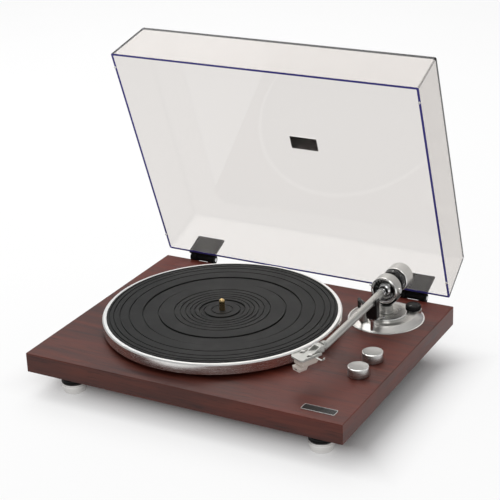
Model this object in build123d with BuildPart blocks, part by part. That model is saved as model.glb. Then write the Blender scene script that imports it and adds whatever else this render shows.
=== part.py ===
from build123d import *
from math import cos, radians, sin, sqrt
import os

os.makedirs("parts", exist_ok=True)

# Layout: the margins that the plinth leaves round the platter's rim
PLATTER_R = 148.3
MARGIN_LEFT = 28.7
MARGIN_RIGHT = 94.7
MARGIN_FRONT = 22.3
MARGIN_BACK = 11.1
PLINTH_W = MARGIN_LEFT + 2 * PLATTER_R + MARGIN_RIGHT
PLINTH_D = MARGIN_FRONT + 2 * PLATTER_R + MARGIN_BACK
RIGHT_FACE = PLINTH_W / 2
BACK_FACE = PLINTH_D / 2
PLATTER_X = MARGIN_LEFT + PLATTER_R - RIGHT_FACE
PLATTER_Y = MARGIN_FRONT + PLATTER_R - BACK_FACE

# Motor's place, to the left of the bearing and behind it
MOTOR_OFFSET = 70.7
MOTOR_X = PLATTER_X - MOTOR_OFFSET
MOTOR_Y = PLATTER_Y + MOTOR_OFFSET

# Plinth: one veneered board on four feet
PLINTH_T = 24.5
PLINTH_UNDERSIDE = 33.3
PLINTH_CORNER_R = 1.2
PLINTH_EDGE = 0.6
DECK_WALL = 9.5
POCKET_ROOM_LEFT = 36.3
POCKET_ROOM_BACK = 29.7
POCKET_WALL_RIGHT = 18.0
POCKET_WALL_FRONT = 65.0
POCKET_X = (MOTOR_X - POCKET_ROOM_LEFT, RIGHT_FACE - POCKET_WALL_RIGHT)
POCKET_Y = (POCKET_WALL_FRONT - BACK_FACE, MOTOR_Y + POCKET_ROOM_BACK)
DECK = PLINTH_UNDERSIDE + PLINTH_T
POCKET_CEILING = DECK - DECK_WALL

# Dust cover: thin acrylic, its walls drafted inwards towards the panel
COVER_SIDE_GAP = 4.85
COVER_W = PLINTH_W - 2 * COVER_SIDE_GAP
COVER_FRONT_GAP = 2.1
COVER_H = 69.9
COVER_WALL = 3.0
COVER_DRAFT_SIDE = 5.6
COVER_DRAFT_FRONT = 6.5
COVER_DRAFT_BACK = 5.0
COVER_CORNER_R = 3.0
COVER_GAP = 1.8
COVER_SETBACK = 5.4
COVER_D = PLINTH_D - COVER_SETBACK - COVER_FRONT_GAP
COVER_OPEN = 70.26

# Hinge axis, behind the back face and above the deck
HINGE_BACK = 3.5
HINGE_UP = 3.3
HINGE_FROM_SIDE = 56.0
HINGE_X = RIGHT_FACE - HINGE_FROM_SIDE
HINGE_W = 36.0
HINGE_CHEEK_W = 9.0
HINGE_KNUCKLE_R = 4.4
HINGE_ARM_TOP = 5.3
HINGE_ARM_BOTTOM = 1.3
HINGE_PIN_R = 1.5
HINGE_PIN_HEAD_R = 2.6
HINGE_PIN_HEAD_T = 1.0
HINGE_PLATE_W = 40.0
HINGE_PLATE_H = 30.0
HINGE_PLATE_T = 2.6
HINGE_LEAF_ROOM = 1.8
HINGE_TAIL_T = 6.0
HINGE_TAIL_DROP = 18.0
HINGE_SCREW_PITCH = 22.0
HINGE_SCREW_DROP = 11.0

# Clearances
FIT = 0.05
RUN = 0.03
SEAT = 0.3
SIDE_PLAY = 0.3

# Edges that are broken or rounded
SOFT_EDGE = 0.8
FINE_EDGE = 0.5

# Feet
FOOT_FROM_SIDE = 42.4
FOOT_FROM_FRONT = 35.2
FOOT_X = RIGHT_FACE - FOOT_FROM_SIDE
FOOT_Y = BACK_FACE - FOOT_FROM_FRONT
FOOT_R = 15.5
FOOT_CUP_H = 13.5
FOOT_CUP_BOTTOM_R = 13.6
FOOT_CUP_EDGE = 1.0
FOOT_CUP_SHOULDER = 8.4
FOOT_PAD_R = 11.0
FOOT_PAD_T = 2.4
FOOT_PAD_PROUD = 0.8
FOOT_BOLT_R = 3.0
FOOT_BOLT_DEPTH = 12.0
FOOT_BOLT_HEAD_R = 5.0
FOOT_BOLT_HEAD_T = 4.0

# Bottom pan
PAN_LIP = 5.5
PAN_LIP_T = 1.5
PAN_ROOM_LEFT = 4.0
PAN_ROOM_RIGHT = 82.0
PAN_ROOM = 6.0
PAN_X = (POCKET_X[0] + PAN_ROOM_LEFT, POCKET_X[1] - PAN_ROOM_RIGHT)
PAN_Y = (POCKET_Y[0] + PAN_ROOM, POCKET_Y[1] - PAN_ROOM)
PAN_DEPTH = 18.0
PAN_WALL = 1.6
PAN_CORNER_R = 6.0
PAN_VENT_W = 2.4
PAN_VENT_L = 30.0
PAN_VENT_PITCH = 8.0
PAN_VENTS = 6

# Countersunk and pan-head wood screws
SCREW_R = 1.5
SCREW_HEAD_R = 2.9
SCREW_HEAD_T = 1.5
SCREW_HEAD_EDGE = 0.5
SCREW_LENGTH = 9.0

# Platter, mat and spindle
PLATTER_TOP = 75.5
PLATTER_BOTTOM = 61.4
PLATTER_RIM_T = 8.3
PLATTER_RIM_IN = PLATTER_R - PLATTER_RIM_T
PLATTER_WEB_T = 3.6
PLATTER_CHAMFER = 1.4
MAT_EDGE_W = 5.3
MAT_R = PLATTER_R - MAT_EDGE_W
MAT_T = 3.4
MAT_PROUD = 1.0
MAT_GROOVE_W = 1.2
MAT_GROOVE_DEPTH = 0.5
MAT_OUTER_GROOVES = (7.0, 16.0, 28.0)
MAT_INNER_GROOVES = (60.0, 48.0, 40.0)
MAT_GROOVES = tuple(MAT_R - depth for depth in MAT_OUTER_GROOVES) + MAT_INNER_GROOVES
MAT_WIDE_BAND = (64.0, 45.0)
MAT_LABEL_BAND = (22.5, 28.0)
MAT_BANDS = ((MAT_R - MAT_WIDE_BAND[0], MAT_R - MAT_WIDE_BAND[1]), MAT_LABEL_BAND)
MAT_BAND_DEPTH = 0.9
DRIVE_RING_R = 62.0
DRIVE_RING_T = 4.0
DRIVE_RING_BOTTOM = 60.4
HUB_R = 16.0
SPINDLE_R = 3.6
SPINDLE_TOP = 91.0
SHAFT_R = 5.0
SHAFT_BOTTOM = 28.6
FLANGE_R = 11.0
FLANGE_T = 3.0
FLANGE_BOTTOM = 61.4

# Main bearing under the platter
BEARING_FLANGE_R = 22.0
BEARING_FLANGE_T = 2.8
BEARING_R = 11.0
BEARING_BOTTOM = 20.0
BUSH_WALL = 1.5
BUSH_SPANS = ((31.0, 40.0), (50.0, 60.0))
BALL_R = 2.5
BEARING_SCREW_PCD_R = 16.5

# Motor, pulley and belt
MOTOR_R = 17.0
MOTOR_H = 20.0
MOTOR_BOSS_R = 4.0
MOTOR_BOSS_H = 3.0
MOTOR_HOLE_PLAY = 2.0
MOTOR_SHAFT_R = 1.25
MOTOR_PLATE_T = 1.5
MOTOR_PLATE_RIM = 1.0
GROMMET_R = 4.5
GROMMET_H = 3.0
GROMMET_PCD_R = 24.0
PULLEY_R = 8.0
PULLEY_FLANGE_R = 9.6
PULLEY_BOTTOM = 61.0
PULLEY_TOP = 67.8
PULLEY_FLANGE_T = 0.8
BELT_W = 4.0
BELT_T = 0.7
BELT_GAP = 0.2
BELT_BOTTOM = 62.2

# Tonearm base and pillar
PIVOT_FROM_SIDE = 64.0
PIVOT_FROM_BACK = 64.5
PIVOT_X = RIGHT_FACE - PIVOT_FROM_SIDE
PIVOT_Y = BACK_FACE - PIVOT_FROM_BACK
ARM_BASE_R = 47.5
ARM_BASE_RIM = 0.9
ARM_BASE_TOP_R = 36.0
ARM_BASE_H = 6.5
ARM_PLATE_R = 26.0
ARM_PLATE_T = 3.0
PILLAR_R = 8.0
PILLAR_FLANGE = 1.5
PILLAR_TOP = 76.3
PILLAR_STEM_R = 6.4
PILLAR_STEM_BOTTOM = 40.0
ARM_NUT_ACROSS = 20.0
ARM_NUT_T = 5.0
ARM_NUT_POCKET_R = 11.9

# Arm: gimbal ring, hub, tube
ARM_Z = 98.0
RING_R = 17.0
RING_IN_R = 14.4
RING_L = 17.0
RING_RIM = 0.8
YOKE_T = 2.6
YOKE_L = 13.0
YOKE_ANGLE = 62.0
YOKE_STEM_R = 6.0
YAW_SHAFT_R = 3.6
YAW_SHAFT_BOTTOM = 42.0
HUB_BALL_R = 10.4
HUB_CONE_Y = -17.0
PIVOT_PIN_R = 1.4
PIVOT_PIN_DEPTH = 3.0
PIVOT_SCREW_HEAD_R = 3.6
PIVOT_SCREW_HEAD_T = 2.6
TUBE_ROOT_R = 5.0
TUBE_END_R = 4.2
TUBE_WALL = 1.1
TUBE_REACH = 166.5
TUBE_END_Y = PIVOT_Y - TUBE_REACH
TAIL_R = 3.5
TAIL_REACH = 43.5
TAIL_END_Y = PIVOT_Y + TAIL_REACH

# Headshell and cartridge, in a plane turned inwards about the tube's end
HEAD_OFFSET = 24.0
HEAD_STEP_X = 0.3
HEAD_STEP_Y = 1.0
HEAD_X = PIVOT_X + HEAD_STEP_X
HEAD_Y = TUBE_END_Y - HEAD_STEP_Y
HEAD_L = 47.5
HEAD_W = 22.0
HEAD_NECK_W = 12.0
HEAD_NECK_L = 7.0
HEAD_SHOULDER_L = 17.0
HEAD_T = 2.4
HEAD_TOP = 96.0
HEAD_SLOT_W = 2.8
HEAD_SLOT_L = 14.0
HEAD_SLOT_PITCH = 12.7
HEAD_SLOT_CENTRE = 29.0
COLLAR_R = 5.6
COLLAR_L = 9.0
CART_W = 16.5
CART_L = 25.0
CART_H = 9.0
CART_START = 18.5
CART_EDGE = 1.0
CART_SCREW_AT = 31.0
CART_SCREW_R = 1.2
CART_SCREW_HEAD_R = 2.3
CART_SCREW_DEPTH = 4.5
STYLUS_W = 13.0
STYLUS_L = 13.0
STYLUS_START = 34.5
STYLUS_TAPER = 0.7
STYLUS_BOTTOM = 79.2
STYLUS_TIP_Z = 77.4
CANTILEVER_R = 0.4
LIFT_W = 3.0
LIFT_T = 1.4
LIFT_REACH = 15.0
LIFT_AT = 27.0
LIFT_H = 5.6

# Counterweight, its sleeve and the force dial
DIAL_R = 15.4
DIAL_FROM_PIVOT = 17.5
DIAL_T = 9.0
DIAL_Y = (PIVOT_Y + DIAL_FROM_PIVOT, PIVOT_Y + DIAL_FROM_PIVOT + DIAL_T)
WEIGHT_R = 16.0
WEIGHT_GAP = 0.4
WEIGHT_L = 20.6
WEIGHT_Y = (DIAL_Y[1] + WEIGHT_GAP, DIAL_Y[1] + WEIGHT_GAP + WEIGHT_L)
WEIGHT_EDGE = 0.8
WEIGHT_RECESS = 10.0
WEIGHT_RECESS_R = 12.5
SLEEVE_R = 6.5
SLEEVE_SHORT = 2.0
SLEEVE_END_Y = TAIL_END_Y - SLEEVE_SHORT
SLEEVE_FLANGE_R = 9.0
SLEEVE_FLANGE_T = 1.2

# Arm rest
REST_REACH = 42.0
REST_Y = PIVOT_Y - REST_REACH
REST_POST_R = 2.6
REST_POST_SUNK = 2.5
REST_COLLAR = 1.6
REST_COLLAR_H = 3.0
REST_BLOCK_W = 13.0
REST_BLOCK_D = 9.0
REST_BLOCK_BOTTOM = 76.0
REST_PRONG_T = 2.6
REST_PRONG_H = 9.0

# Cueing device
CUE_R = 34.5
CUE_START = 12.5
CUE_END = 52.0
CUE_BAR_T = 3.6
CUE_BAR_H = 3.0
CUE_TOP = 89.3
CUE_FIN_H = 13.0
CUE_FIN_ANGLE = 7.0
CUE_HOUSING_R = 5.5
CUE_HOUSING_TOP = 78.0
CUE_PISTON_R = 2.0
CUE_PISTON_BOTTOM = 66.0
CUE_HOUSING_ANGLE = 31.0
CUE_LEVER_Z = 72.0
CUE_LEVER_HUB_R = 3.4
CUE_LEVER_HUB_T = 3.0
CUE_LEVER_L = 24.0
CUE_LEVER_W = 4.0
CUE_LEVER_PIN_R = 1.2

# Anti-skate dial
SKATE_ANGLE = 45.5
SKATE_R = 9.6
SKATE_H = 5.6
SKATE_BOSS_RIM = 0.8
SKATE_PIN_R = 2.0
SKATE_PIN_L = 5.0

# Deck knobs and their switches
KNOB_FROM_SIDE = 32.6
KNOB_FROM_FRONT = 113.0
KNOB_PITCH = 40.5
KNOB_X = RIGHT_FACE - KNOB_FROM_SIDE
SPEED_KNOB_Y = KNOB_FROM_FRONT - BACK_FACE
POWER_KNOB_Y = SPEED_KNOB_Y + KNOB_PITCH
KNOB_R = 12.5
KNOB_H = 11.5
KNOB_EDGE = 0.9
KNOB_DISH = 1.2
KNOB_SHAFT_R = 3.0
SWITCH_BODY = 18.0
SWITCH_H = 9.0
SWITCH_NECK_R = 4.5

# Badge plates
BADGE_FROM_SIDE = 37.4
BADGE_FROM_FRONT = 20.5
BADGE_X = RIGHT_FACE - BADGE_FROM_SIDE
BADGE_Y = BADGE_FROM_FRONT - BACK_FACE
BADGE_W = 41.5
BADGE_D = 12.5
BADGE_T = 0.8
BADGE_EDGE = 0.3
BADGE_CORNER_R = 2.0
COVER_BADGE_W = 38.0
COVER_BADGE_D = 19.5
COVER_BADGE_T = 0.8

# Clear bumpers under the cover's side walls
BUMPER_FROM_FRONT = 20.5
BUMPER_FROM_BACK = 26.0
BUMPER_R = 1.4

# Rear sockets and control board
BACK_PLATE_FROM_SIDE = 122.0
BACK_PLATE_X = BACK_PLATE_FROM_SIDE - RIGHT_FACE
BACK_PLATE_W = 86.0
BACK_PLATE_H = 18.0
BACK_PLATE_T = 1.6
BACK_PLATE_CORNER_R = 1.5
SOCKET_PITCH = 16.0
SOCKET_R = 4.2
SOCKET_L = 9.0
SOCKET_HOLE_R = 1.7
SOCKET_SUNK = 2.0
SOCKET_COLLAR = 1.2
INLET_R = 5.2
INLET_HOLE_R = 2.8
INLET_L = 2.0
POST_R = 3.8
POST_L = 5.0
POST_SUNK = 4.0
POST_STUB = 4.0
BOARD_ROOM_RIGHT = 100.0
BOARD_ROOM_FRONT = 20.0
BOARD_W = 82.0
BOARD_D = 60.0
BOARD_X = (POCKET_X[1] - BOARD_ROOM_RIGHT - BOARD_W, POCKET_X[1] - BOARD_ROOM_RIGHT)
BOARD_Y = (POCKET_Y[0] + BOARD_ROOM_FRONT, POCKET_Y[0] + BOARD_ROOM_FRONT + BOARD_D)
BOARD_T = 1.6
BOARD_STANDOFF = 4.0
BOARD_HOLE_EDGE = 5.0
BOARD_PART_H = 8.0
CHIP_W = 14.0
CHIP_D = 20.0
CHIP_OFFSET = 18.0
CAN_R = 5.0
CAN_OFFSET = (6.0, 8.0)
COIL_R = 4.0
COIL_OFFSET = (20.0, -8.0)
STANDOFF_R = 2.6

# The cover's leaning back wall reaches past the plinth; the origin lies below the middle of the whole
cover_back = PLINTH_D / 2 + HINGE_BACK
cover_back += (-HINGE_BACK - COVER_SETBACK - COVER_DRAFT_BACK) * cos(radians(COVER_OPEN))
cover_back += (COVER_GAP - HINGE_UP + COVER_H) * sin(radians(COVER_OPEN))
MID_Y = -(cover_back - PLINTH_D / 2) / 2


def level(x, y, z):
    """Horizontal plane through a point given from the plinth's middle and the floor."""
    return Plane(origin=(x, MID_Y + y, z))


def upright(x, y):
    """Vertical plane facing the front, with the floor's height as its second coordinate."""
    return Plane(origin=(x, MID_Y + y, 0), x_dir=(1, 0, 0), z_dir=(0, -1, 0))


def plumb(x, y):
    return Axis((x, MID_Y + y, 0), (0, 0, 1))


def turned(x, y, outline):
    """Solid of revolution about a plumb line, from (radius, height) points."""
    with BuildPart() as piece:
        with BuildSketch(upright(x, y)):
            with BuildLine():
                Polyline(*outline, close=True)
            make_face()
        revolve(axis=plumb(x, y))
    return piece.part


def along_arm(outline):
    """Solid of revolution about the arm's axis, from (distance behind the pivot, radius) points."""
    with BuildPart() as piece:
        with BuildSketch(Plane(origin=(PIVOT_X, MID_Y, ARM_Z), x_dir=(0, 1, 0), z_dir=(1, 0, 0))):
            with BuildLine():
                Polyline(*outline, close=True)
            make_face()
        revolve(axis=Axis((PIVOT_X, MID_Y, ARM_Z), (0, 1, 0)))
    return piece.part


def joined(solids):
    """Several separate solids of one kind as one node."""
    return Compound(children=list(solids))


def save(shape, name):
    shape.label = name
    export_step(shape, f"parts/{name}.step")


def four(x, y):
    return [(sx * x, sy * y) for sx in (-1, 1) for sy in (-1, 1)]


def pan_head_screw(x, y, seat, up):
    """Screw whose head rests on the given height and whose shank runs up or down from it."""
    way = 1 if up else -1
    outline = [
        (0, seat - way * SCREW_HEAD_T),
        (SCREW_HEAD_R - SCREW_HEAD_EDGE, seat - way * SCREW_HEAD_T),
        (SCREW_HEAD_R, seat - way * (SCREW_HEAD_T - SCREW_HEAD_EDGE)),
        (SCREW_HEAD_R, seat),
        (SCREW_R, seat),
        (SCREW_R, seat + way * SCREW_LENGTH),
        (0, seat + way * SCREW_LENGTH),
    ]
    return turned(x, y, outline)


# Places that several pieces share
MAT_BOTTOM = PLATTER_TOP + MAT_PROUD - MAT_T
WEB_BOTTOM = MAT_BOTTOM - PLATTER_WEB_T
FLANGE_TOP = FLANGE_BOTTOM + FLANGE_T
SPINDLE_STEP = PLATTER_TOP + MAT_PROUD - SEAT
MOTOR_PLATE_Z = POCKET_CEILING - GROMMET_H - MOTOR_PLATE_T
LIP_BOTTOM = PLINTH_UNDERSIDE - PAN_LIP_T
PAN_BOTTOM = PLINTH_UNDERSIDE - PAN_DEPTH
ARM_BASE_TOP = DECK + ARM_BASE_H
ARM_PLATE_TOP = ARM_BASE_TOP + ARM_PLATE_T
NUT_BOTTOM = POCKET_CEILING - ARM_NUT_T
BUSH_R = SHAFT_R + RUN + BUSH_WALL
KNOB_YS = (POWER_KNOB_Y, SPEED_KNOB_Y)
LIP_X = (POCKET_X[0] - PAN_LIP, POCKET_X[1] + PAN_LIP)
LIP_Y = (POCKET_Y[0] - PAN_LIP, POCKET_Y[1] + PAN_LIP)
PAN_SCREWS = [
    (x, y)
    for x in (LIP_X[0] + PAN_LIP / 2, 0.0, LIP_X[1] - PAN_LIP / 2)
    for y in (LIP_Y[0] + PAN_LIP / 2, LIP_Y[1] - PAN_LIP / 2)
]
GROMMETS = [
    (MOTOR_X + GROMMET_PCD_R * cos(radians(a)), MOTOR_Y + GROMMET_PCD_R * sin(radians(a)))
    for a in (45, 165, 285)
]
BEARING_SCREWS = [
    (
        PLATTER_X + BEARING_SCREW_PCD_R * cos(radians(a)),
        PLATTER_Y + BEARING_SCREW_PCD_R * sin(radians(a)),
    )
    for a in (30, 150, 270)
]
STANDOFFS = [
    (x, y)
    for x in (BOARD_X[0] + BOARD_HOLE_EDGE, BOARD_X[1] - BOARD_HOLE_EDGE)
    for y in (BOARD_Y[0] + BOARD_HOLE_EDGE, BOARD_Y[1] - BOARD_HOLE_EDGE)
]
SOCKETS = (BACK_PLATE_X - 1.5 * SOCKET_PITCH, BACK_PLATE_X - 0.5 * SOCKET_PITCH)
POST_X = BACK_PLATE_X + 0.6 * SOCKET_PITCH
INLET_X = BACK_PLATE_X + 1.8 * SOCKET_PITCH
BACK_PLATE_Z = PLINTH_UNDERSIDE + PLINTH_T / 2
SKATE_REACH = ARM_PLATE_R + SEAT + SKATE_R
SKATE_AT = (
    PIVOT_X + SKATE_REACH * sin(radians(SKATE_ANGLE)),
    PIVOT_Y + SKATE_REACH * cos(radians(SKATE_ANGLE)),
)

HINGE_CHEEK_R = HINGE_BACK + COVER_SETBACK - HINGE_PLATE_T - SEAT

# Plinth
with BuildPart() as plinth:
    with BuildSketch(level(0, 0, PLINTH_UNDERSIDE)):
        Rectangle(PLINTH_W, PLINTH_D)
    extrude(amount=PLINTH_T)
    fillet(plinth.edges().filter_by(Axis.Z), PLINTH_CORNER_R)
    chamfer(plinth.faces().sort_by(Axis.Z)[-1].edges(), PLINTH_EDGE)
    with BuildSketch(level(0, 0, PLINTH_UNDERSIDE)):
        with Locations((sum(POCKET_X) / 2, sum(POCKET_Y) / 2)):
            Rectangle(POCKET_X[1] - POCKET_X[0], POCKET_Y[1] - POCKET_Y[0])
        with Locations((PIVOT_X, PIVOT_Y)):
            Circle(ARM_NUT_POCKET_R)
    extrude(amount=POCKET_CEILING - PLINTH_UNDERSIDE, mode=Mode.SUBTRACT)
    with BuildSketch(level(0, 0, POCKET_CEILING)):
        with Locations((PLATTER_X, PLATTER_Y)):
            Circle(BEARING_R + FIT)
        with Locations((MOTOR_X, MOTOR_Y)):
            Circle(MOTOR_BOSS_R + MOTOR_HOLE_PLAY)
        with Locations((PIVOT_X, PIVOT_Y)):
            Circle(PILLAR_STEM_R + FIT)
        with Locations(*[(KNOB_X, y) for y in KNOB_YS]):
            Circle(SWITCH_NECK_R + FIT)
    extrude(amount=DECK_WALL, mode=Mode.SUBTRACT)
    with BuildSketch(level(0, 0, DECK)):
        with Locations(*BEARING_SCREWS):
            Circle(SCREW_R + FIT)
    extrude(amount=BEARING_FLANGE_T - SCREW_LENGTH - FIT, mode=Mode.SUBTRACT)
    with BuildSketch(level(0, 0, POCKET_CEILING)):
        with Locations(*GROMMETS, *STANDOFFS):
            Circle(SCREW_R + FIT)
    extrude(amount=SCREW_LENGTH - GROMMET_H, mode=Mode.SUBTRACT)
    with BuildSketch(level(0, 0, PLINTH_UNDERSIDE)):
        with Locations(*PAN_SCREWS):
            Circle(SCREW_R + FIT)
    extrude(amount=SCREW_LENGTH, mode=Mode.SUBTRACT)
    with BuildSketch(level(0, 0, PLINTH_UNDERSIDE)):
        with Locations(*four(FOOT_X, FOOT_Y)):
            Circle(FOOT_BOLT_R + FIT)
    extrude(amount=FOOT_BOLT_DEPTH + FIT, mode=Mode.SUBTRACT)
    back_plane = Plane(origin=(0, MID_Y + BACK_FACE, 0), x_dir=(1, 0, 0), z_dir=(0, -1, 0))
    with BuildSketch(back_plane):
        with Locations(*[(x, BACK_PLATE_Z) for x in SOCKETS]):
            Circle(SOCKET_R + FIT)
        with Locations((POST_X, BACK_PLATE_Z)):
            Circle(SOCKET_HOLE_R + FIT)
        with Locations((INLET_X, BACK_PLATE_Z)):
            Circle(INLET_R + FIT)
    extrude(amount=BACK_FACE - POCKET_Y[1], mode=Mode.SUBTRACT)
    with BuildSketch(back_plane):
        for side in (-HINGE_X, HINGE_X):
            for step in (-HINGE_SCREW_PITCH / 2, HINGE_SCREW_PITCH / 2):
                with Locations((side + step, DECK - HINGE_SCREW_DROP)):
                    Circle(SCREW_R + FIT)
    extrude(amount=SCREW_LENGTH - HINGE_TAIL_T + FIT, mode=Mode.SUBTRACT)
save(plinth.part, "plinth")

# Bottom pan with a lip that covers the whole routed pocket, screws and vents
with BuildPart() as bottom_pan:
    with BuildSketch(level(0, 0, LIP_BOTTOM)):
        with Locations((sum(LIP_X) / 2, sum(LIP_Y) / 2)):
            RectangleRounded(LIP_X[1] - LIP_X[0], LIP_Y[1] - LIP_Y[0], PAN_CORNER_R)
    extrude(amount=PAN_LIP_T)
    with BuildSketch(level(0, 0, PAN_BOTTOM)):
        with Locations((sum(PAN_X) / 2, sum(PAN_Y) / 2)):
            RectangleRounded(PAN_X[1] - PAN_X[0], PAN_Y[1] - PAN_Y[0], PAN_CORNER_R)
    extrude(amount=PAN_DEPTH - PAN_LIP_T)
    with BuildSketch(level(0, 0, PAN_BOTTOM + PAN_WALL)):
        with Locations((sum(PAN_X) / 2, sum(PAN_Y) / 2)):
            RectangleRounded(
                PAN_X[1] - PAN_X[0] - 2 * PAN_WALL,
                PAN_Y[1] - PAN_Y[0] - 2 * PAN_WALL,
                PAN_CORNER_R - PAN_WALL,
            )
    extrude(amount=PAN_DEPTH, mode=Mode.SUBTRACT)
    with BuildSketch(level(0, 0, PAN_BOTTOM)):
        with Locations((MOTOR_X, MOTOR_Y)):
            with GridLocations(PAN_VENT_PITCH, 1, PAN_VENTS, 1):
                SlotOverall(PAN_VENT_L, PAN_VENT_W, rotation=90)
    extrude(amount=PAN_WALL, mode=Mode.SUBTRACT)
    with BuildSketch(level(0, 0, LIP_BOTTOM)):
        with Locations(*PAN_SCREWS):
            Circle(SCREW_R + FIT)
    extrude(amount=PAN_LIP_T, mode=Mode.SUBTRACT)
save(bottom_pan.part, "bottom_pan")

# Feet: rubber isolator above, spun aluminium cup below, felt pad and bolt
isolators, cups, pads, bolts = [], [], [], []
for x, y in four(FOOT_X, FOOT_Y):
    isolators.append(
        turned(
            x,
            y,
            [
                (FOOT_BOLT_R + FIT, FOOT_CUP_H),
                (FOOT_R, FOOT_CUP_H),
                (FOOT_R, PLINTH_UNDERSIDE),
                (FOOT_BOLT_R + FIT, PLINTH_UNDERSIDE),
            ],
        )
    )
    cups.append(
        turned(
            x,
            y,
            [
                (FOOT_BOLT_HEAD_R + FIT, FOOT_PAD_T),
                (FOOT_PAD_R + FIT, FOOT_PAD_T),
                (FOOT_PAD_R + FIT, FOOT_PAD_PROUD),
                (FOOT_CUP_BOTTOM_R - FOOT_CUP_EDGE, FOOT_PAD_PROUD),
                (FOOT_CUP_BOTTOM_R, FOOT_PAD_PROUD + FOOT_CUP_EDGE),
                (FOOT_R, FOOT_CUP_SHOULDER),
                (FOOT_R, FOOT_CUP_H),
                (FOOT_BOLT_R + FIT, FOOT_CUP_H),
                (FOOT_BOLT_R + FIT, FOOT_PAD_T + FOOT_BOLT_HEAD_T),
                (FOOT_BOLT_HEAD_R + FIT, FOOT_PAD_T + FOOT_BOLT_HEAD_T),
            ],
        )
    )
    pads.append(turned(x, y, [(0, 0), (FOOT_PAD_R, 0), (FOOT_PAD_R, FOOT_PAD_T), (0, FOOT_PAD_T)]))
    bolts.append(
        turned(
            x,
            y,
            [
                (0, FOOT_PAD_T),
                (FOOT_BOLT_HEAD_R, FOOT_PAD_T),
                (FOOT_BOLT_HEAD_R, FOOT_PAD_T + FOOT_BOLT_HEAD_T),
                (FOOT_BOLT_R, FOOT_PAD_T + FOOT_BOLT_HEAD_T),
                (FOOT_BOLT_R, PLINTH_UNDERSIDE + FOOT_BOLT_DEPTH),
                (0, PLINTH_UNDERSIDE + FOOT_BOLT_DEPTH),
            ],
        )
    )
save(joined(isolators), "foot_isolators")
save(joined(cups), "foot_cups")
save(joined(pads), "foot_pads")
save(joined(bolts), "foot_bolts")

# Main bearing
with BuildPart() as bearing_housing:
    with BuildSketch(upright(PLATTER_X, PLATTER_Y)):
        with BuildLine():
            Polyline(
                (BUSH_R + FIT, DECK + BEARING_FLANGE_T),
                (BEARING_FLANGE_R, DECK + BEARING_FLANGE_T),
                (BEARING_FLANGE_R, DECK),
                (BEARING_R, DECK),
                (BEARING_R, BEARING_BOTTOM),
                (0, BEARING_BOTTOM),
                (0, SHAFT_BOTTOM - 2 * BALL_R - FIT),
                (BALL_R + FIT, SHAFT_BOTTOM - 2 * BALL_R - FIT),
                (BALL_R + FIT, SHAFT_BOTTOM - BALL_R),
                (BUSH_R + FIT, SHAFT_BOTTOM - BALL_R),
                close=True,
            )
        make_face()
    revolve(axis=plumb(PLATTER_X, PLATTER_Y))
    with BuildSketch(level(0, 0, DECK)):
        with Locations(*BEARING_SCREWS):
            Circle(SCREW_R + FIT)
    extrude(amount=BEARING_FLANGE_T, mode=Mode.SUBTRACT)
save(bearing_housing.part, "bearing_housing")
save(
    joined(
        turned(
            PLATTER_X,
            PLATTER_Y,
            [(SHAFT_R + RUN, low), (BUSH_R, low), (BUSH_R, high), (SHAFT_R + RUN, high)],
        )
        for low, high in BUSH_SPANS
    ),
    "bearing_bushes",
)
with BuildPart() as thrust_ball:
    with Locations((PLATTER_X, MID_Y + PLATTER_Y, SHAFT_BOTTOM - BALL_R - FIT)):
        Sphere(BALL_R)
save(thrust_ball.part, "thrust_ball")

# Spindle, platter and mat
with BuildPart() as spindle:
    with BuildSketch(upright(PLATTER_X, PLATTER_Y)):
        with BuildLine():
            Polyline(
                (0, SPINDLE_TOP),
                (0, SHAFT_BOTTOM),
                (SHAFT_R, SHAFT_BOTTOM),
                (SHAFT_R, FLANGE_BOTTOM),
                (FLANGE_R, FLANGE_BOTTOM),
                (FLANGE_R, FLANGE_TOP),
                (SHAFT_R, FLANGE_TOP),
                (SHAFT_R, SPINDLE_STEP),
                (SPINDLE_R, SPINDLE_STEP),
                (SPINDLE_R, SPINDLE_TOP - SPINDLE_R),
            )
            RadiusArc((SPINDLE_R, SPINDLE_TOP - SPINDLE_R), (0, SPINDLE_TOP), -SPINDLE_R)
        make_face()
    revolve(axis=plumb(PLATTER_X, PLATTER_Y))
save(spindle.part, "spindle")

platter_outline = [
    (SHAFT_R + FIT, FLANGE_TOP),
    (HUB_R, FLANGE_TOP),
    (HUB_R, WEB_BOTTOM),
    (DRIVE_RING_R - DRIVE_RING_T, WEB_BOTTOM),
    (DRIVE_RING_R - DRIVE_RING_T, DRIVE_RING_BOTTOM),
    (DRIVE_RING_R, DRIVE_RING_BOTTOM),
    (DRIVE_RING_R, WEB_BOTTOM),
    (PLATTER_RIM_IN, WEB_BOTTOM),
    (PLATTER_RIM_IN, PLATTER_BOTTOM),
    (PLATTER_R - PLATTER_CHAMFER, PLATTER_BOTTOM),
    (PLATTER_R, PLATTER_BOTTOM + PLATTER_CHAMFER),
    (PLATTER_R, PLATTER_TOP - PLATTER_CHAMFER),
    (PLATTER_R - PLATTER_CHAMFER, PLATTER_TOP),
    (MAT_R + SEAT, PLATTER_TOP),
    (MAT_R + SEAT, MAT_BOTTOM),
    (SHAFT_R + FIT, MAT_BOTTOM),
]
save(turned(PLATTER_X, PLATTER_Y, platter_outline), "platter")


def mat_outline():
    """Top face read from the rim inwards, stepping down at each groove and band."""
    top = PLATTER_TOP + MAT_PROUD
    dips = [(r - MAT_GROOVE_W / 2, r + MAT_GROOVE_W / 2, MAT_GROOVE_DEPTH) for r in MAT_GROOVES]
    dips += [(inner, outer, MAT_BAND_DEPTH) for inner, outer in MAT_BANDS]
    points = [(SHAFT_R + SEAT, MAT_BOTTOM), (MAT_R, MAT_BOTTOM), (MAT_R, top)]
    for inner, outer, depth in sorted(dips, reverse=True):
        points += [(outer, top), (outer, top - depth), (inner, top - depth), (inner, top)]
    return points + [(SHAFT_R + SEAT, top)]


save(turned(PLATTER_X, PLATTER_Y, mat_outline()), "platter_mat")

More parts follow.
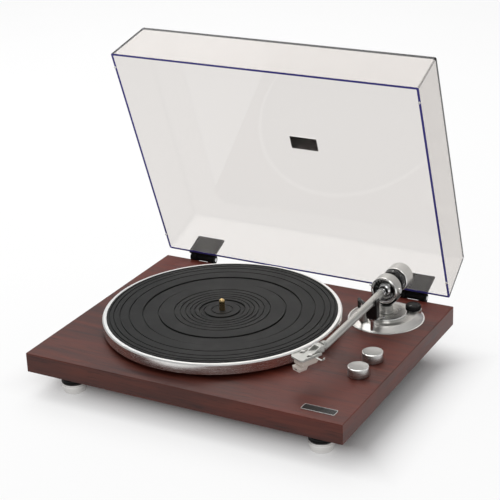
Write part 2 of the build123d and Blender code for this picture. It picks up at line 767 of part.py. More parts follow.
# Motor on its plate, hung from the deck on rubber grommets
with BuildPart() as motor:
    with BuildSketch(level(MOTOR_X, MOTOR_Y, MOTOR_PLATE_Z)):
        Circle(MOTOR_R)
    extrude(amount=-MOTOR_H)
    chamfer(motor.edges().filter_by(GeomType.CIRCLE), SOFT_EDGE)
    with BuildSketch(level(MOTOR_X, MOTOR_Y, MOTOR_PLATE_Z)):
        Circle(MOTOR_BOSS_R)
    extrude(amount=MOTOR_PLATE_T + MOTOR_BOSS_H)
    with BuildSketch(level(MOTOR_X, MOTOR_Y, MOTOR_PLATE_Z + MOTOR_PLATE_T + MOTOR_BOSS_H)):
        Circle(MOTOR_SHAFT_R + RUN)
    extrude(amount=-MOTOR_PLATE_T - MOTOR_BOSS_H - MOTOR_H / 2, mode=Mode.SUBTRACT)
save(motor.part, "motor")

with BuildPart() as motor_plate:
    with BuildSketch(level(MOTOR_X, MOTOR_Y, MOTOR_PLATE_Z)):
        Circle(GROMMET_PCD_R + GROMMET_R + MOTOR_PLATE_RIM)
        Circle(MOTOR_BOSS_R + FIT, mode=Mode.SUBTRACT)
        for x, y in GROMMETS:
            with Locations((x - MOTOR_X, y - MOTOR_Y)):
                Circle(SCREW_R + FIT, mode=Mode.SUBTRACT)
    extrude(amount=MOTOR_PLATE_T)
save(motor_plate.part, "motor_plate")
grommet_profile = [
    (SCREW_R + FIT, MOTOR_PLATE_Z + MOTOR_PLATE_T),
    (GROMMET_R, MOTOR_PLATE_Z + MOTOR_PLATE_T),
    (GROMMET_R, POCKET_CEILING),
    (SCREW_R + FIT, POCKET_CEILING),
]
save(joined(turned(x, y, grommet_profile) for x, y in GROMMETS), "motor_grommets")

pulley_outline = [
    (MOTOR_SHAFT_R + FIT, PULLEY_BOTTOM),
    (PULLEY_FLANGE_R, PULLEY_BOTTOM),
    (PULLEY_FLANGE_R, PULLEY_BOTTOM + PULLEY_FLANGE_T),
    (PULLEY_R, PULLEY_BOTTOM + PULLEY_FLANGE_T),
    (PULLEY_R, PULLEY_TOP - PULLEY_FLANGE_T),
    (PULLEY_FLANGE_R, PULLEY_TOP - PULLEY_FLANGE_T),
    (PULLEY_FLANGE_R, PULLEY_TOP),
    (MOTOR_SHAFT_R + FIT, PULLEY_TOP),
]
save(turned(MOTOR_X, MOTOR_Y, pulley_outline), "motor_pulley")
motor_shaft_bottom = MOTOR_PLATE_Z - MOTOR_H / 2 + SEAT
motor_shaft_outline = [
    (0, motor_shaft_bottom),
    (MOTOR_SHAFT_R, motor_shaft_bottom),
    (MOTOR_SHAFT_R, PULLEY_TOP),
    (0, PULLEY_TOP),
]
save(turned(MOTOR_X, MOTOR_Y, motor_shaft_outline), "motor_shaft")

with BuildPart() as drive_belt:
    for thickness, mode in ((BELT_T, Mode.ADD), (0.0, Mode.SUBTRACT)):
        with BuildSketch(level(0, 0, BELT_BOTTOM)):
            with Locations((PLATTER_X, PLATTER_Y)):
                Circle(DRIVE_RING_R + BELT_GAP + thickness)
            with Locations((MOTOR_X, MOTOR_Y)):
                Circle(PULLEY_R + BELT_GAP + thickness)
            make_hull()
        extrude(amount=BELT_W, mode=mode)
save(drive_belt.part, "drive_belt")

# Tonearm base: spun flange with a raised seat for the anti-skate dial and a hole for the rest's post
with BuildPart() as arm_base:
    with BuildSketch(upright(PIVOT_X, PIVOT_Y)):
        with BuildLine():
            Polyline(
                (PILLAR_STEM_R + FIT, DECK),
                (ARM_BASE_R, DECK),
                (ARM_BASE_R, DECK + ARM_BASE_RIM),
                (ARM_BASE_R - ARM_BASE_RIM, DECK + ARM_BASE_RIM),
                (ARM_BASE_TOP_R, ARM_BASE_TOP),
                (PILLAR_STEM_R + FIT, ARM_BASE_TOP),
                close=True,
            )
        make_face()
    revolve(axis=plumb(PIVOT_X, PIVOT_Y))
    with BuildSketch(level(*SKATE_AT, DECK)):
        Circle(SKATE_R + SKATE_BOSS_RIM)
    extrude(amount=ARM_BASE_H)
    with BuildSketch(level(*SKATE_AT, ARM_BASE_TOP)):
        Circle(SKATE_PIN_R + RUN)
    extrude(amount=-SKATE_PIN_L, mode=Mode.SUBTRACT)
    with BuildSketch(level(PIVOT_X, REST_Y, DECK + REST_POST_SUNK / 2)):
        Circle(REST_POST_R + FIT)
    extrude(amount=ARM_BASE_H, mode=Mode.SUBTRACT)
save(arm_base.part, "arm_base")

arm_plate_outline = [
    (PILLAR_STEM_R + FIT, ARM_BASE_TOP),
    (ARM_PLATE_R, ARM_BASE_TOP),
    (ARM_PLATE_R, ARM_PLATE_TOP - FINE_EDGE),
    (ARM_PLATE_R - FINE_EDGE, ARM_PLATE_TOP),
    (PILLAR_STEM_R + FIT, ARM_PLATE_TOP),
]
save(turned(PIVOT_X, PIVOT_Y, arm_plate_outline), "arm_plate")

pillar_outline = [
    (YAW_SHAFT_R + RUN, PILLAR_STEM_BOTTOM),
    (PILLAR_STEM_R, PILLAR_STEM_BOTTOM),
    (PILLAR_STEM_R, ARM_PLATE_TOP),
    (PILLAR_R + PILLAR_FLANGE, ARM_PLATE_TOP),
    (PILLAR_R + PILLAR_FLANGE, ARM_PLATE_TOP + PILLAR_FLANGE),
    (PILLAR_R, ARM_PLATE_TOP + PILLAR_FLANGE),
    (PILLAR_R, PILLAR_TOP),
    (YAW_SHAFT_R + RUN, PILLAR_TOP),
]
save(turned(PIVOT_X, PIVOT_Y, pillar_outline), "arm_pillar")

with BuildPart() as arm_nut:
    with BuildSketch(level(PIVOT_X, PIVOT_Y, NUT_BOTTOM)):
        RegularPolygon(ARM_NUT_ACROSS / 2, 6, major_radius=False)
        Circle(PILLAR_STEM_R + FIT, mode=Mode.SUBTRACT)
    extrude(amount=ARM_NUT_T)
save(arm_nut.part, "arm_nut")

# Yaw carriage: shaft, black yoke, gimbal ring and its two pivot screws
with BuildPart() as yaw_shaft:
    with BuildSketch(level(PIVOT_X, PIVOT_Y, YAW_SHAFT_BOTTOM)):
        Circle(YAW_SHAFT_R)
    extrude(amount=PILLAR_TOP + SEAT - YAW_SHAFT_BOTTOM)
save(yaw_shaft.part, "yaw_shaft")

with BuildPart() as arm_yoke:
    with BuildSketch(upright(PIVOT_X, PIVOT_Y)):
        with Locations((0, ARM_Z)):
            Circle(RING_R + YOKE_T)
            Circle(RING_R + FIT, mode=Mode.SUBTRACT)
        reach = 2 * RING_R
        side = reach * sin(radians(YOKE_ANGLE))
        drop = reach * cos(radians(YOKE_ANGLE))
        with BuildLine():
            Polyline(
                (0, ARM_Z),
                (-side, ARM_Z - drop),
                (-side, ARM_Z - 2 * reach),
                (side, ARM_Z - 2 * reach),
                (side, ARM_Z - drop),
                close=True,
            )
        make_face(mode=Mode.INTERSECT)
    extrude(amount=YOKE_L / 2, both=True)
    with BuildSketch(level(PIVOT_X, PIVOT_Y, PILLAR_TOP + SEAT)):
        Circle(YOKE_STEM_R)
    extrude(amount=ARM_Z - RING_R - YOKE_T / 2 - PILLAR_TOP - SEAT)
save(arm_yoke.part, "arm_yoke")

with BuildPart() as gimbal_ring:
    add(
        along_arm(
            [
                (PIVOT_Y - RING_L / 2, RING_IN_R + RING_RIM),
                (PIVOT_Y - RING_L / 2, RING_R - RING_RIM),
                (PIVOT_Y - RING_L / 2 + RING_RIM, RING_R),
                (PIVOT_Y + RING_L / 2 - RING_RIM, RING_R),
                (PIVOT_Y + RING_L / 2, RING_R - RING_RIM),
                (PIVOT_Y + RING_L / 2, RING_IN_R),
                (PIVOT_Y - RING_L / 2 + RING_RIM, RING_IN_R),
            ]
        )
    )
    with BuildSketch(Plane(origin=(PIVOT_X, MID_Y + PIVOT_Y, ARM_Z), x_dir=(0, 1, 0), z_dir=(1, 0, 0))):
        Circle(PIVOT_PIN_R + FIT)
    extrude(amount=2 * RING_R, both=True, mode=Mode.SUBTRACT)
save(gimbal_ring.part, "gimbal_ring")

pivot_screws = []
head_start = sqrt(RING_R**2 - PIVOT_SCREW_HEAD_R**2)
for way in (-1, 1):
    across = Plane(
        origin=(PIVOT_X, MID_Y + PIVOT_Y, ARM_Z), x_dir=(0, 1, 0), z_dir=(way, 0, 0)
    )
    with BuildPart() as pivot_screw:
        with BuildSketch(across.offset(HUB_BALL_R - PIVOT_PIN_DEPTH + SEAT)):
            Circle(PIVOT_PIN_R)
        extrude(amount=RING_R + PIVOT_SCREW_HEAD_T - HUB_BALL_R + PIVOT_PIN_DEPTH - SEAT)
        with BuildSketch(across.offset(RING_R + FIT)):
            Circle(PIVOT_SCREW_HEAD_R)
        extrude(amount=PIVOT_SCREW_HEAD_T)
        chamfer(pivot_screw.faces().sort_by(Axis.X)[0 if way < 0 else -1].edges(), FINE_EDGE)
    pivot_screws.append(pivot_screw.part)
save(joined(pivot_screws), "pivot_screws")

# Pitch body: hub with its threaded tail, and the tube
with BuildPart() as arm_hub:
    with BuildSketch(Plane(origin=(PIVOT_X, MID_Y + PIVOT_Y, ARM_Z), x_dir=(0, 1, 0), z_dir=(1, 0, 0))):
        cone_y = HUB_CONE_Y
        with BuildLine():
            cone_top = (-HUB_BALL_R * 0.8, HUB_BALL_R * 0.6)
            rear = (HUB_BALL_R * 0.8, HUB_BALL_R * 0.6)
            tail_y = TAIL_END_Y - PIVOT_Y
            Polyline((cone_y, 0), (cone_y, TUBE_ROOT_R + 0.6), cone_top)
            ThreePointArc(cone_top, (0, HUB_BALL_R), rear)
            Polyline(rear, (rear[0], TAIL_R), (tail_y, TAIL_R), (tail_y, 0), (cone_y, 0))
        make_face()
    revolve(axis=Axis((PIVOT_X, MID_Y, ARM_Z), (0, 1, 0)))
    with BuildSketch(Plane(origin=(PIVOT_X, MID_Y + PIVOT_Y, ARM_Z), x_dir=(0, 1, 0), z_dir=(1, 0, 0))):
        Circle(PIVOT_PIN_R + RUN)
    extrude(amount=HUB_BALL_R, both=True, mode=Mode.SUBTRACT)
save(arm_hub.part, "arm_hub")
hub_front = PIVOT_Y + HUB_CONE_Y
save(
    along_arm(
        [
            (hub_front, TUBE_ROOT_R),
            (TUBE_END_Y, TUBE_END_R),
            (TUBE_END_Y, TUBE_END_R - TUBE_WALL),
            (hub_front, TUBE_ROOT_R - TUBE_WALL),
        ]
    ),
    "arm_tube",
)

# Counterweight: nylon sleeve on the threaded tail, steel weight round it, numbered dial in front
save(
    along_arm(
        [
            (DIAL_Y[0] - SLEEVE_FLANGE_T, TAIL_R + RUN),
            (DIAL_Y[0] - SLEEVE_FLANGE_T, SLEEVE_FLANGE_R),
            (DIAL_Y[0] - FIT, SLEEVE_FLANGE_R),
            (DIAL_Y[0] - FIT, SLEEVE_R),
            (SLEEVE_END_Y, SLEEVE_R),
            (SLEEVE_END_Y, TAIL_R + RUN),
        ]
    ),
    "weight_sleeve",
)
weight_outline = [
    (WEIGHT_Y[0], SLEEVE_R + RUN),
    (WEIGHT_Y[0], WEIGHT_R - WEIGHT_EDGE),
    (WEIGHT_Y[0] + WEIGHT_EDGE, WEIGHT_R),
    (WEIGHT_Y[1] - WEIGHT_EDGE, WEIGHT_R),
    (WEIGHT_Y[1], WEIGHT_R - WEIGHT_EDGE),
    (WEIGHT_Y[1], WEIGHT_RECESS_R),
    (WEIGHT_Y[1] - WEIGHT_RECESS, WEIGHT_RECESS_R),
    (WEIGHT_Y[1] - WEIGHT_RECESS, SLEEVE_R + RUN),
]
save(along_arm(weight_outline), "counterweight")
dial_outline = [
    (DIAL_Y[0], SLEEVE_R + RUN),
    (DIAL_Y[0], DIAL_R - FINE_EDGE),
    (DIAL_Y[0] + FINE_EDGE, DIAL_R),
    (DIAL_Y[1], DIAL_R),
    (DIAL_Y[1], SLEEVE_R + RUN),
]
save(along_arm(dial_outline), "force_dial")

# Headshell with its finger lift, and the cartridge; their plane's first axis runs from the tube to the shell's nose
head = Plane(
    origin=(HEAD_X, MID_Y + HEAD_Y, 0),
    x_dir=(-sin(radians(HEAD_OFFSET)), -cos(radians(HEAD_OFFSET)), 0),
    z_dir=(0, 0, 1),
)
HEAD_BOTTOM = HEAD_TOP - HEAD_T
CART_BOTTOM = HEAD_BOTTOM - CART_H
CART_SCREWS = [(CART_SCREW_AT, s * HEAD_SLOT_PITCH / 2) for s in (-1, 1)]
with BuildPart() as headshell:
    with BuildSketch(head.offset(HEAD_BOTTOM)):
        with BuildLine():
            Polyline(
                (COLLAR_L, -HEAD_NECK_W / 2),
                (HEAD_NECK_L + COLLAR_L, -HEAD_NECK_W / 2),
                (HEAD_SHOULDER_L, -HEAD_W / 2),
                (HEAD_L, -HEAD_W / 2),
                (HEAD_L, HEAD_W / 2),
                (HEAD_SHOULDER_L, HEAD_W / 2),
                (HEAD_NECK_L + COLLAR_L, HEAD_NECK_W / 2),
                (COLLAR_L, HEAD_NECK_W / 2),
                close=True,
            )
        make_face()
        with Locations(*[(HEAD_SLOT_CENTRE, s * HEAD_SLOT_PITCH / 2) for s in (-1, 1)]):
            SlotOverall(HEAD_SLOT_L, HEAD_SLOT_W, mode=Mode.SUBTRACT)
    extrude(amount=HEAD_T)
    with BuildSketch(head.offset(HEAD_BOTTOM)):
        with Locations((COLLAR_L + HEAD_NECK_L / 2, 0)):
            Rectangle(HEAD_NECK_L, HEAD_NECK_W)
    extrude(amount=ARM_Z + COLLAR_R * 0.6 - HEAD_BOTTOM)
    with BuildSketch(head.offset(HEAD_BOTTOM)):
        with Locations((LIFT_AT, (HEAD_W + LIFT_REACH) / 2)):
            Rectangle(LIFT_W, LIFT_REACH)
    extrude(amount=LIFT_T)
    with BuildSketch(head.offset(HEAD_BOTTOM)):
        with Locations((LIFT_AT, HEAD_W / 2 + LIFT_REACH - LIFT_T / 2)):
            Rectangle(LIFT_W, LIFT_T)
    extrude(amount=LIFT_H)
save(headshell.part, "headshell")

with BuildPart() as head_collar:
    collar_end = Plane(
        origin=(HEAD_X, MID_Y + HEAD_Y, ARM_Z),
        x_dir=(0, 0, 1),
        z_dir=(-sin(radians(HEAD_OFFSET)), -cos(radians(HEAD_OFFSET)), 0),
    )
    with BuildSketch(collar_end.offset(2 * TUBE_END_R * sin(radians(HEAD_OFFSET)))):
        Circle(COLLAR_R)
    extrude(amount=COLLAR_L - 2 * TUBE_END_R * sin(radians(HEAD_OFFSET)))
    tube_plane = Plane(
        origin=(PIVOT_X, MID_Y + TUBE_END_Y, ARM_Z), x_dir=(0, 0, 1), z_dir=(0, -1, 0)
    )
    with BuildSketch(tube_plane):
        Circle(TUBE_END_R)
    extrude(amount=COLLAR_L * 0.6)
save(head_collar.part, "head_collar")

with BuildPart() as cartridge:
    with BuildSketch(head.offset(CART_BOTTOM)):
        with Locations((CART_START + CART_L / 2, 0)):
            Rectangle(CART_L, CART_W)
    extrude(amount=CART_H)
    chamfer(cartridge.faces().sort_by(Axis.Z)[0].edges(), CART_EDGE)
    with BuildSketch(head.offset(HEAD_BOTTOM)):
        with Locations(*CART_SCREWS):
            Circle(CART_SCREW_R + FIT)
    extrude(amount=-CART_SCREW_DEPTH - SEAT, mode=Mode.SUBTRACT)
save(cartridge.part, "cartridge")

with BuildPart() as stylus_holder:
    with BuildSketch(head.offset(CART_BOTTOM - FIT)):
        with Locations((STYLUS_START + STYLUS_L / 2, 0)):
            Rectangle(STYLUS_L, STYLUS_W)
    with BuildSketch(head.offset(STYLUS_BOTTOM)):
        with Locations((STYLUS_START + STYLUS_L / 2, 0)):
            Rectangle(STYLUS_L * STYLUS_TAPER, STYLUS_W * STYLUS_TAPER)
    loft()

with BuildPart() as stylus:
    with BuildSketch(head.offset(STYLUS_BOTTOM)):
        with Locations((STYLUS_START + STYLUS_L / 2, 0)):
            Circle(CANTILEVER_R * 2)
    with BuildSketch(head.offset(STYLUS_TIP_Z)):
        with Locations((STYLUS_START + STYLUS_L / 2, 0)):
            Circle(CANTILEVER_R * 0.5)
    loft()
save(joined([stylus_holder.part, stylus.part]), "stylus_assembly")

cart_screws = []
for along, across in CART_SCREWS:
    with BuildPart() as cart_screw:
        with BuildSketch(head.offset(HEAD_TOP)):
            with Locations((along, across)):
                Circle(CART_SCREW_HEAD_R)
        extrude(amount=SCREW_HEAD_T)
        with BuildSketch(head.offset(HEAD_TOP)):
            with Locations((along, across)):
                Circle(CART_SCREW_R)
        extrude(amount=-HEAD_T - CART_SCREW_DEPTH)
    cart_screws.append(cart_screw.part)
save(joined(cart_screws), "cartridge_screws")

# Arm rest: chrome post in the base, black clip that is open towards the platter
rest_bottom_of_tube = ARM_Z - TUBE_ROOT_R
rest_block_top = rest_bottom_of_tube - SEAT
with BuildPart() as rest_post:
    with BuildSketch(level(PIVOT_X, REST_Y, DECK + REST_POST_SUNK / 2)):
        Circle(REST_POST_R)
    extrude(amount=REST_BLOCK_BOTTOM - DECK - REST_POST_SUNK / 2)
    with BuildSketch(level(PIVOT_X, REST_Y, REST_BLOCK_BOTTOM - REST_COLLAR_H)):
        Circle(REST_POST_R + REST_COLLAR)
    extrude(amount=REST_COLLAR_H)
save(rest_post.part, "arm_rest_post")
with BuildPart() as rest_clip:
    with BuildSketch(level(PIVOT_X, REST_Y, REST_BLOCK_BOTTOM)):
        Rectangle(REST_BLOCK_W, REST_BLOCK_D)
    extrude(amount=rest_block_top - REST_BLOCK_BOTTOM)
    prong_x = TUBE_ROOT_R + SEAT + REST_PRONG_T / 2
    with BuildSketch(level(PIVOT_X + prong_x, REST_Y, REST_BLOCK_BOTTOM)):
        Rectangle(REST_PRONG_T, REST_BLOCK_D)
    extrude(amount=rest_block_top + REST_PRONG_H - REST_BLOCK_BOTTOM)
save(rest_clip.part, "arm_rest_clip")

# Cueing device: housing on the base, piston with a curved bar, lever at the housing's side
def polar(radius, angle):
    """Point round the arm's pivot; the angle opens from the front towards the platter."""
    return (PIVOT_X - radius * sin(radians(angle)), PIVOT_Y - radius * cos(radians(angle)))


CUE_AT = polar(CUE_R, CUE_HOUSING_ANGLE)
with BuildPart() as cue_housing:
    with BuildSketch(level(*CUE_AT, ARM_BASE_TOP)):
        Circle(CUE_HOUSING_R)
    extrude(amount=CUE_HOUSING_TOP - ARM_BASE_TOP)
    fillet(cue_housing.faces().sort_by(Axis.Z)[-1].edges(), SOFT_EDGE)
    with BuildSketch(level(*CUE_AT, CUE_HOUSING_TOP)):
        Circle(CUE_PISTON_R + RUN)
    extrude(amount=CUE_PISTON_BOTTOM - SEAT - CUE_HOUSING_TOP, mode=Mode.SUBTRACT)
    lever_bore = Plane(origin=(CUE_AT[0], MID_Y + CUE_AT[1], CUE_LEVER_Z), x_dir=(0, 1, 0), z_dir=(-1, 0, 0))
    with BuildSketch(lever_bore):
        Circle(CUE_LEVER_PIN_R + RUN)
    extrude(amount=CUE_HOUSING_R, mode=Mode.SUBTRACT)
save(cue_housing.part, "cue_housing")

with BuildPart() as cue_lift:
    with BuildSketch(level(*CUE_AT, CUE_PISTON_BOTTOM)):
        Circle(CUE_PISTON_R)
    extrude(amount=CUE_TOP - CUE_BAR_H - CUE_PISTON_BOTTOM + 0.5)
    for start, height in ((CUE_START, CUE_BAR_H), (CUE_END - CUE_FIN_ANGLE, CUE_FIN_H)):
        with BuildSketch(level(PIVOT_X, PIVOT_Y, CUE_TOP)):
            Circle(CUE_R + CUE_BAR_T / 2)
            Circle(CUE_R - CUE_BAR_T / 2, mode=Mode.SUBTRACT)
            far = 2 * CUE_R
            with BuildLine():
                Polyline(
                    (0, 0),
                    (-far * sin(radians(start)), -far * cos(radians(start))),
                    (-far * sin(radians(CUE_END)), -far * cos(radians(CUE_END))),
                    close=True,
                )
            make_face(mode=Mode.INTERSECT)
        extrude(amount=-height)
save(cue_lift.part, "cue_lift")

lever_side = CUE_AT[0] - CUE_HOUSING_R - SIDE_PLAY
with BuildPart() as cue_lever:
    side_plane = Plane(
        origin=(lever_side, MID_Y + CUE_AT[1], CUE_LEVER_Z), x_dir=(0, 1, 0), z_dir=(-1, 0, 0)
    )
    with BuildSketch(side_plane):
        Circle(CUE_LEVER_HUB_R)
        with Locations((-CUE_LEVER_L / 2, 0)):
            Rectangle(CUE_LEVER_L, CUE_LEVER_W * 0.6)
    extrude(amount=CUE_LEVER_HUB_T)
    with BuildSketch(side_plane):
        with Locations((-CUE_LEVER_L, 0)):
            Circle(CUE_LEVER_W / 2)
    extrude(amount=CUE_LEVER_HUB_T * 1.6)
    with BuildSketch(side_plane):
        Circle(CUE_LEVER_PIN_R)
    extrude(amount=-(CUE_HOUSING_R - CUE_PISTON_R))
save(cue_lever.part, "cue_lever")

# Anti-skate dial
with BuildPart() as skate_dial:
    with BuildSketch(level(*SKATE_AT, ARM_BASE_TOP + SEAT)):
        Circle(SKATE_R)
    extrude(amount=SKATE_H)
    chamfer(skate_dial.faces().sort_by(Axis.Z)[-1].edges(), FINE_EDGE)
    with BuildSketch(level(*SKATE_AT, ARM_BASE_TOP + SEAT)):
        Circle(SKATE_PIN_R)
    extrude(amount=-SKATE_PIN_L)
save(skate_dial.part, "antiskate_dial")

# Deck knobs on their shafts, over rotary switches in the pocket
knob_bottom = DECK + SEAT
knob_top = knob_bottom + KNOB_H
dish_r = ((KNOB_R - KNOB_EDGE) ** 2 + KNOB_DISH**2) / (2 * KNOB_DISH)
shaft_bottom = POCKET_CEILING - SWITCH_H / 2
switches = []
for name, y in (("power", POWER_KNOB_Y), ("speed", SPEED_KNOB_Y)):
    with BuildPart() as knob:
        with BuildSketch(upright(KNOB_X, y)):
            with BuildLine():
                Polyline(
                    (0, knob_top - KNOB_DISH),
                    (0, knob_bottom),
                    (KNOB_R, knob_bottom),
                    (KNOB_R, knob_top - KNOB_EDGE),
                    (KNOB_R - KNOB_EDGE, knob_top),
                )
                RadiusArc((KNOB_R - KNOB_EDGE, knob_top), (0, knob_top - KNOB_DISH), dish_r)
            make_face()
        revolve(axis=plumb(KNOB_X, y))
        with BuildSketch(level(KNOB_X, y, knob_bottom)):
            Circle(KNOB_SHAFT_R)
        extrude(amount=shaft_bottom - knob_bottom)
    save(knob.part, f"{name}_knob")
    with BuildPart() as switch:
        with BuildSketch(level(KNOB_X, y, POCKET_CEILING)):
            Rectangle(SWITCH_BODY, SWITCH_BODY)
        extrude(amount=-SWITCH_H)
        with BuildSketch(level(KNOB_X, y, POCKET_CEILING)):
            Circle(SWITCH_NECK_R)
        extrude(amount=DECK_WALL)
        with BuildSketch(level(KNOB_X, y, DECK)):
            Circle(KNOB_SHAFT_R + RUN)
        extrude(amount=-DECK_WALL - SWITCH_H / 2 - SEAT, mode=Mode.SUBTRACT)
    switches.append(switch.part)
save(joined(switches), "rotary_switches")

# Bare badge plates
with BuildPart() as deck_badge:
    with BuildSketch(level(BADGE_X, BADGE_Y, DECK)):
        RectangleRounded(BADGE_W, BADGE_D, BADGE_CORNER_R)
    extrude(amount=BADGE_T)
    chamfer(deck_badge.faces().sort_by(Axis.Z)[-1].edges(), BADGE_EDGE)
save(deck_badge.part, "deck_badge")

# Control board on standoffs in the pocket
board_top = POCKET_CEILING - BOARD_STANDOFF
board_x = sum(BOARD_X) / 2
board_y = sum(BOARD_Y) / 2
with BuildPart() as control_board:
    with BuildSketch(level(0, 0, board_top)):
        with Locations((board_x, board_y)):
            Rectangle(BOARD_W, BOARD_D)
        with Locations(*STANDOFFS):
            Circle(SCREW_R + FIT, mode=Mode.SUBTRACT)
    extrude(amount=-BOARD_T)
    with BuildSketch(level(0, 0, board_top - BOARD_T)):
        with Locations((board_x - CHIP_OFFSET, board_y)):
            Rectangle(CHIP_W, CHIP_D)
        with Locations((board_x + CAN_OFFSET[0], board_y + CAN_OFFSET[1])):
            Circle(CAN_R)
        with Locations((board_x + COIL_OFFSET[0], board_y + COIL_OFFSET[1])):
            Circle(COIL_R)
    extrude(amount=-BOARD_PART_H)
save(control_board.part, "control_board")
standoff_outline = [
    (SCREW_R + FIT, board_top),
    (STANDOFF_R, board_top),
    (STANDOFF_R, POCKET_CEILING),
    (SCREW_R + FIT, POCKET_CEILING),
]
save(joined(turned(x, y, standoff_outline) for x, y in STANDOFFS), "board_standoffs")

# Alike wood screws for the pan, the motor plate and the board, and three that come down through the bearing
wood_screws = [pan_head_screw(x, y, LIP_BOTTOM, True) for x, y in PAN_SCREWS]
wood_screws += [pan_head_screw(x, y, MOTOR_PLATE_Z, True) for x, y in GROMMETS]
wood_screws += [pan_head_screw(x, y, board_top - BOARD_T, True) for x, y in STANDOFFS]
wood_screws += [pan_head_screw(x, y, DECK + BEARING_FLANGE_T, False) for x, y in BEARING_SCREWS]
save(joined(wood_screws), "wood_screws")

# Rear sockets on a plate against the plinth's back face
rear = Plane(origin=(0, MID_Y + BACK_FACE, 0), x_dir=(-1, 0, 0), z_dir=(0, 1, 0))
with BuildPart() as socket_plate:
    with BuildSketch(rear):
        with Locations((-BACK_PLATE_X, BACK_PLATE_Z)):
            RectangleRounded(BACK_PLATE_W, BACK_PLATE_H, BACK_PLATE_CORNER_R)
        with Locations(*[(-x, BACK_PLATE_Z) for x in SOCKETS]):
            Circle(SOCKET_R + FIT, mode=Mode.SUBTRACT)
        with Locations((-POST_X, BACK_PLATE_Z)):
            Circle(SOCKET_HOLE_R + FIT, mode=Mode.SUBTRACT)
        with Locations((-INLET_X, BACK_PLATE_Z)):
            Circle(INLET_R + FIT, mode=Mode.SUBTRACT)
    extrude(amount=BACK_PLATE_T)
save(socket_plate.part, "socket_plate")


def socket(x, radius, hole_r, out):
    with BuildPart() as piece:
        with BuildSketch(rear.offset(-SOCKET_SUNK)):
            with Locations((-x, BACK_PLATE_Z)):
                Circle(radius)
        extrude(amount=SOCKET_SUNK + BACK_PLATE_T + out)
        with BuildSketch(rear.offset(BACK_PLATE_T)):
            with Locations((-x, BACK_PLATE_Z)):
                Circle(radius + SOCKET_COLLAR)
        extrude(amount=SOCKET_COLLAR)
        with BuildSketch(rear.offset(BACK_PLATE_T + out)):
            with Locations((-x, BACK_PLATE_Z)):
                Circle(hole_r)
        extrude(amount=-out - BACK_PLATE_T, mode=Mode.SUBTRACT)
    return piece.part


save(joined(socket(x, SOCKET_R, SOCKET_HOLE_R, SOCKET_L) for x in SOCKETS), "phono_sockets")
save(socket(INLET_X, INLET_R, INLET_HOLE_R, INLET_L), "power_inlet")
with BuildPart() as ground_post:
    with BuildSketch(rear.offset(-POST_SUNK)):
        with Locations((-POST_X, BACK_PLATE_Z)):
            Circle(SOCKET_HOLE_R)
    extrude(amount=POST_SUNK + BACK_PLATE_T + POST_STUB)
    with BuildSketch(rear.offset(BACK_PLATE_T)):
        with Locations((-POST_X, BACK_PLATE_Z)):
            Circle(POST_R)
    extrude(amount=POST_L)
save(ground_post.part, "ground_post")

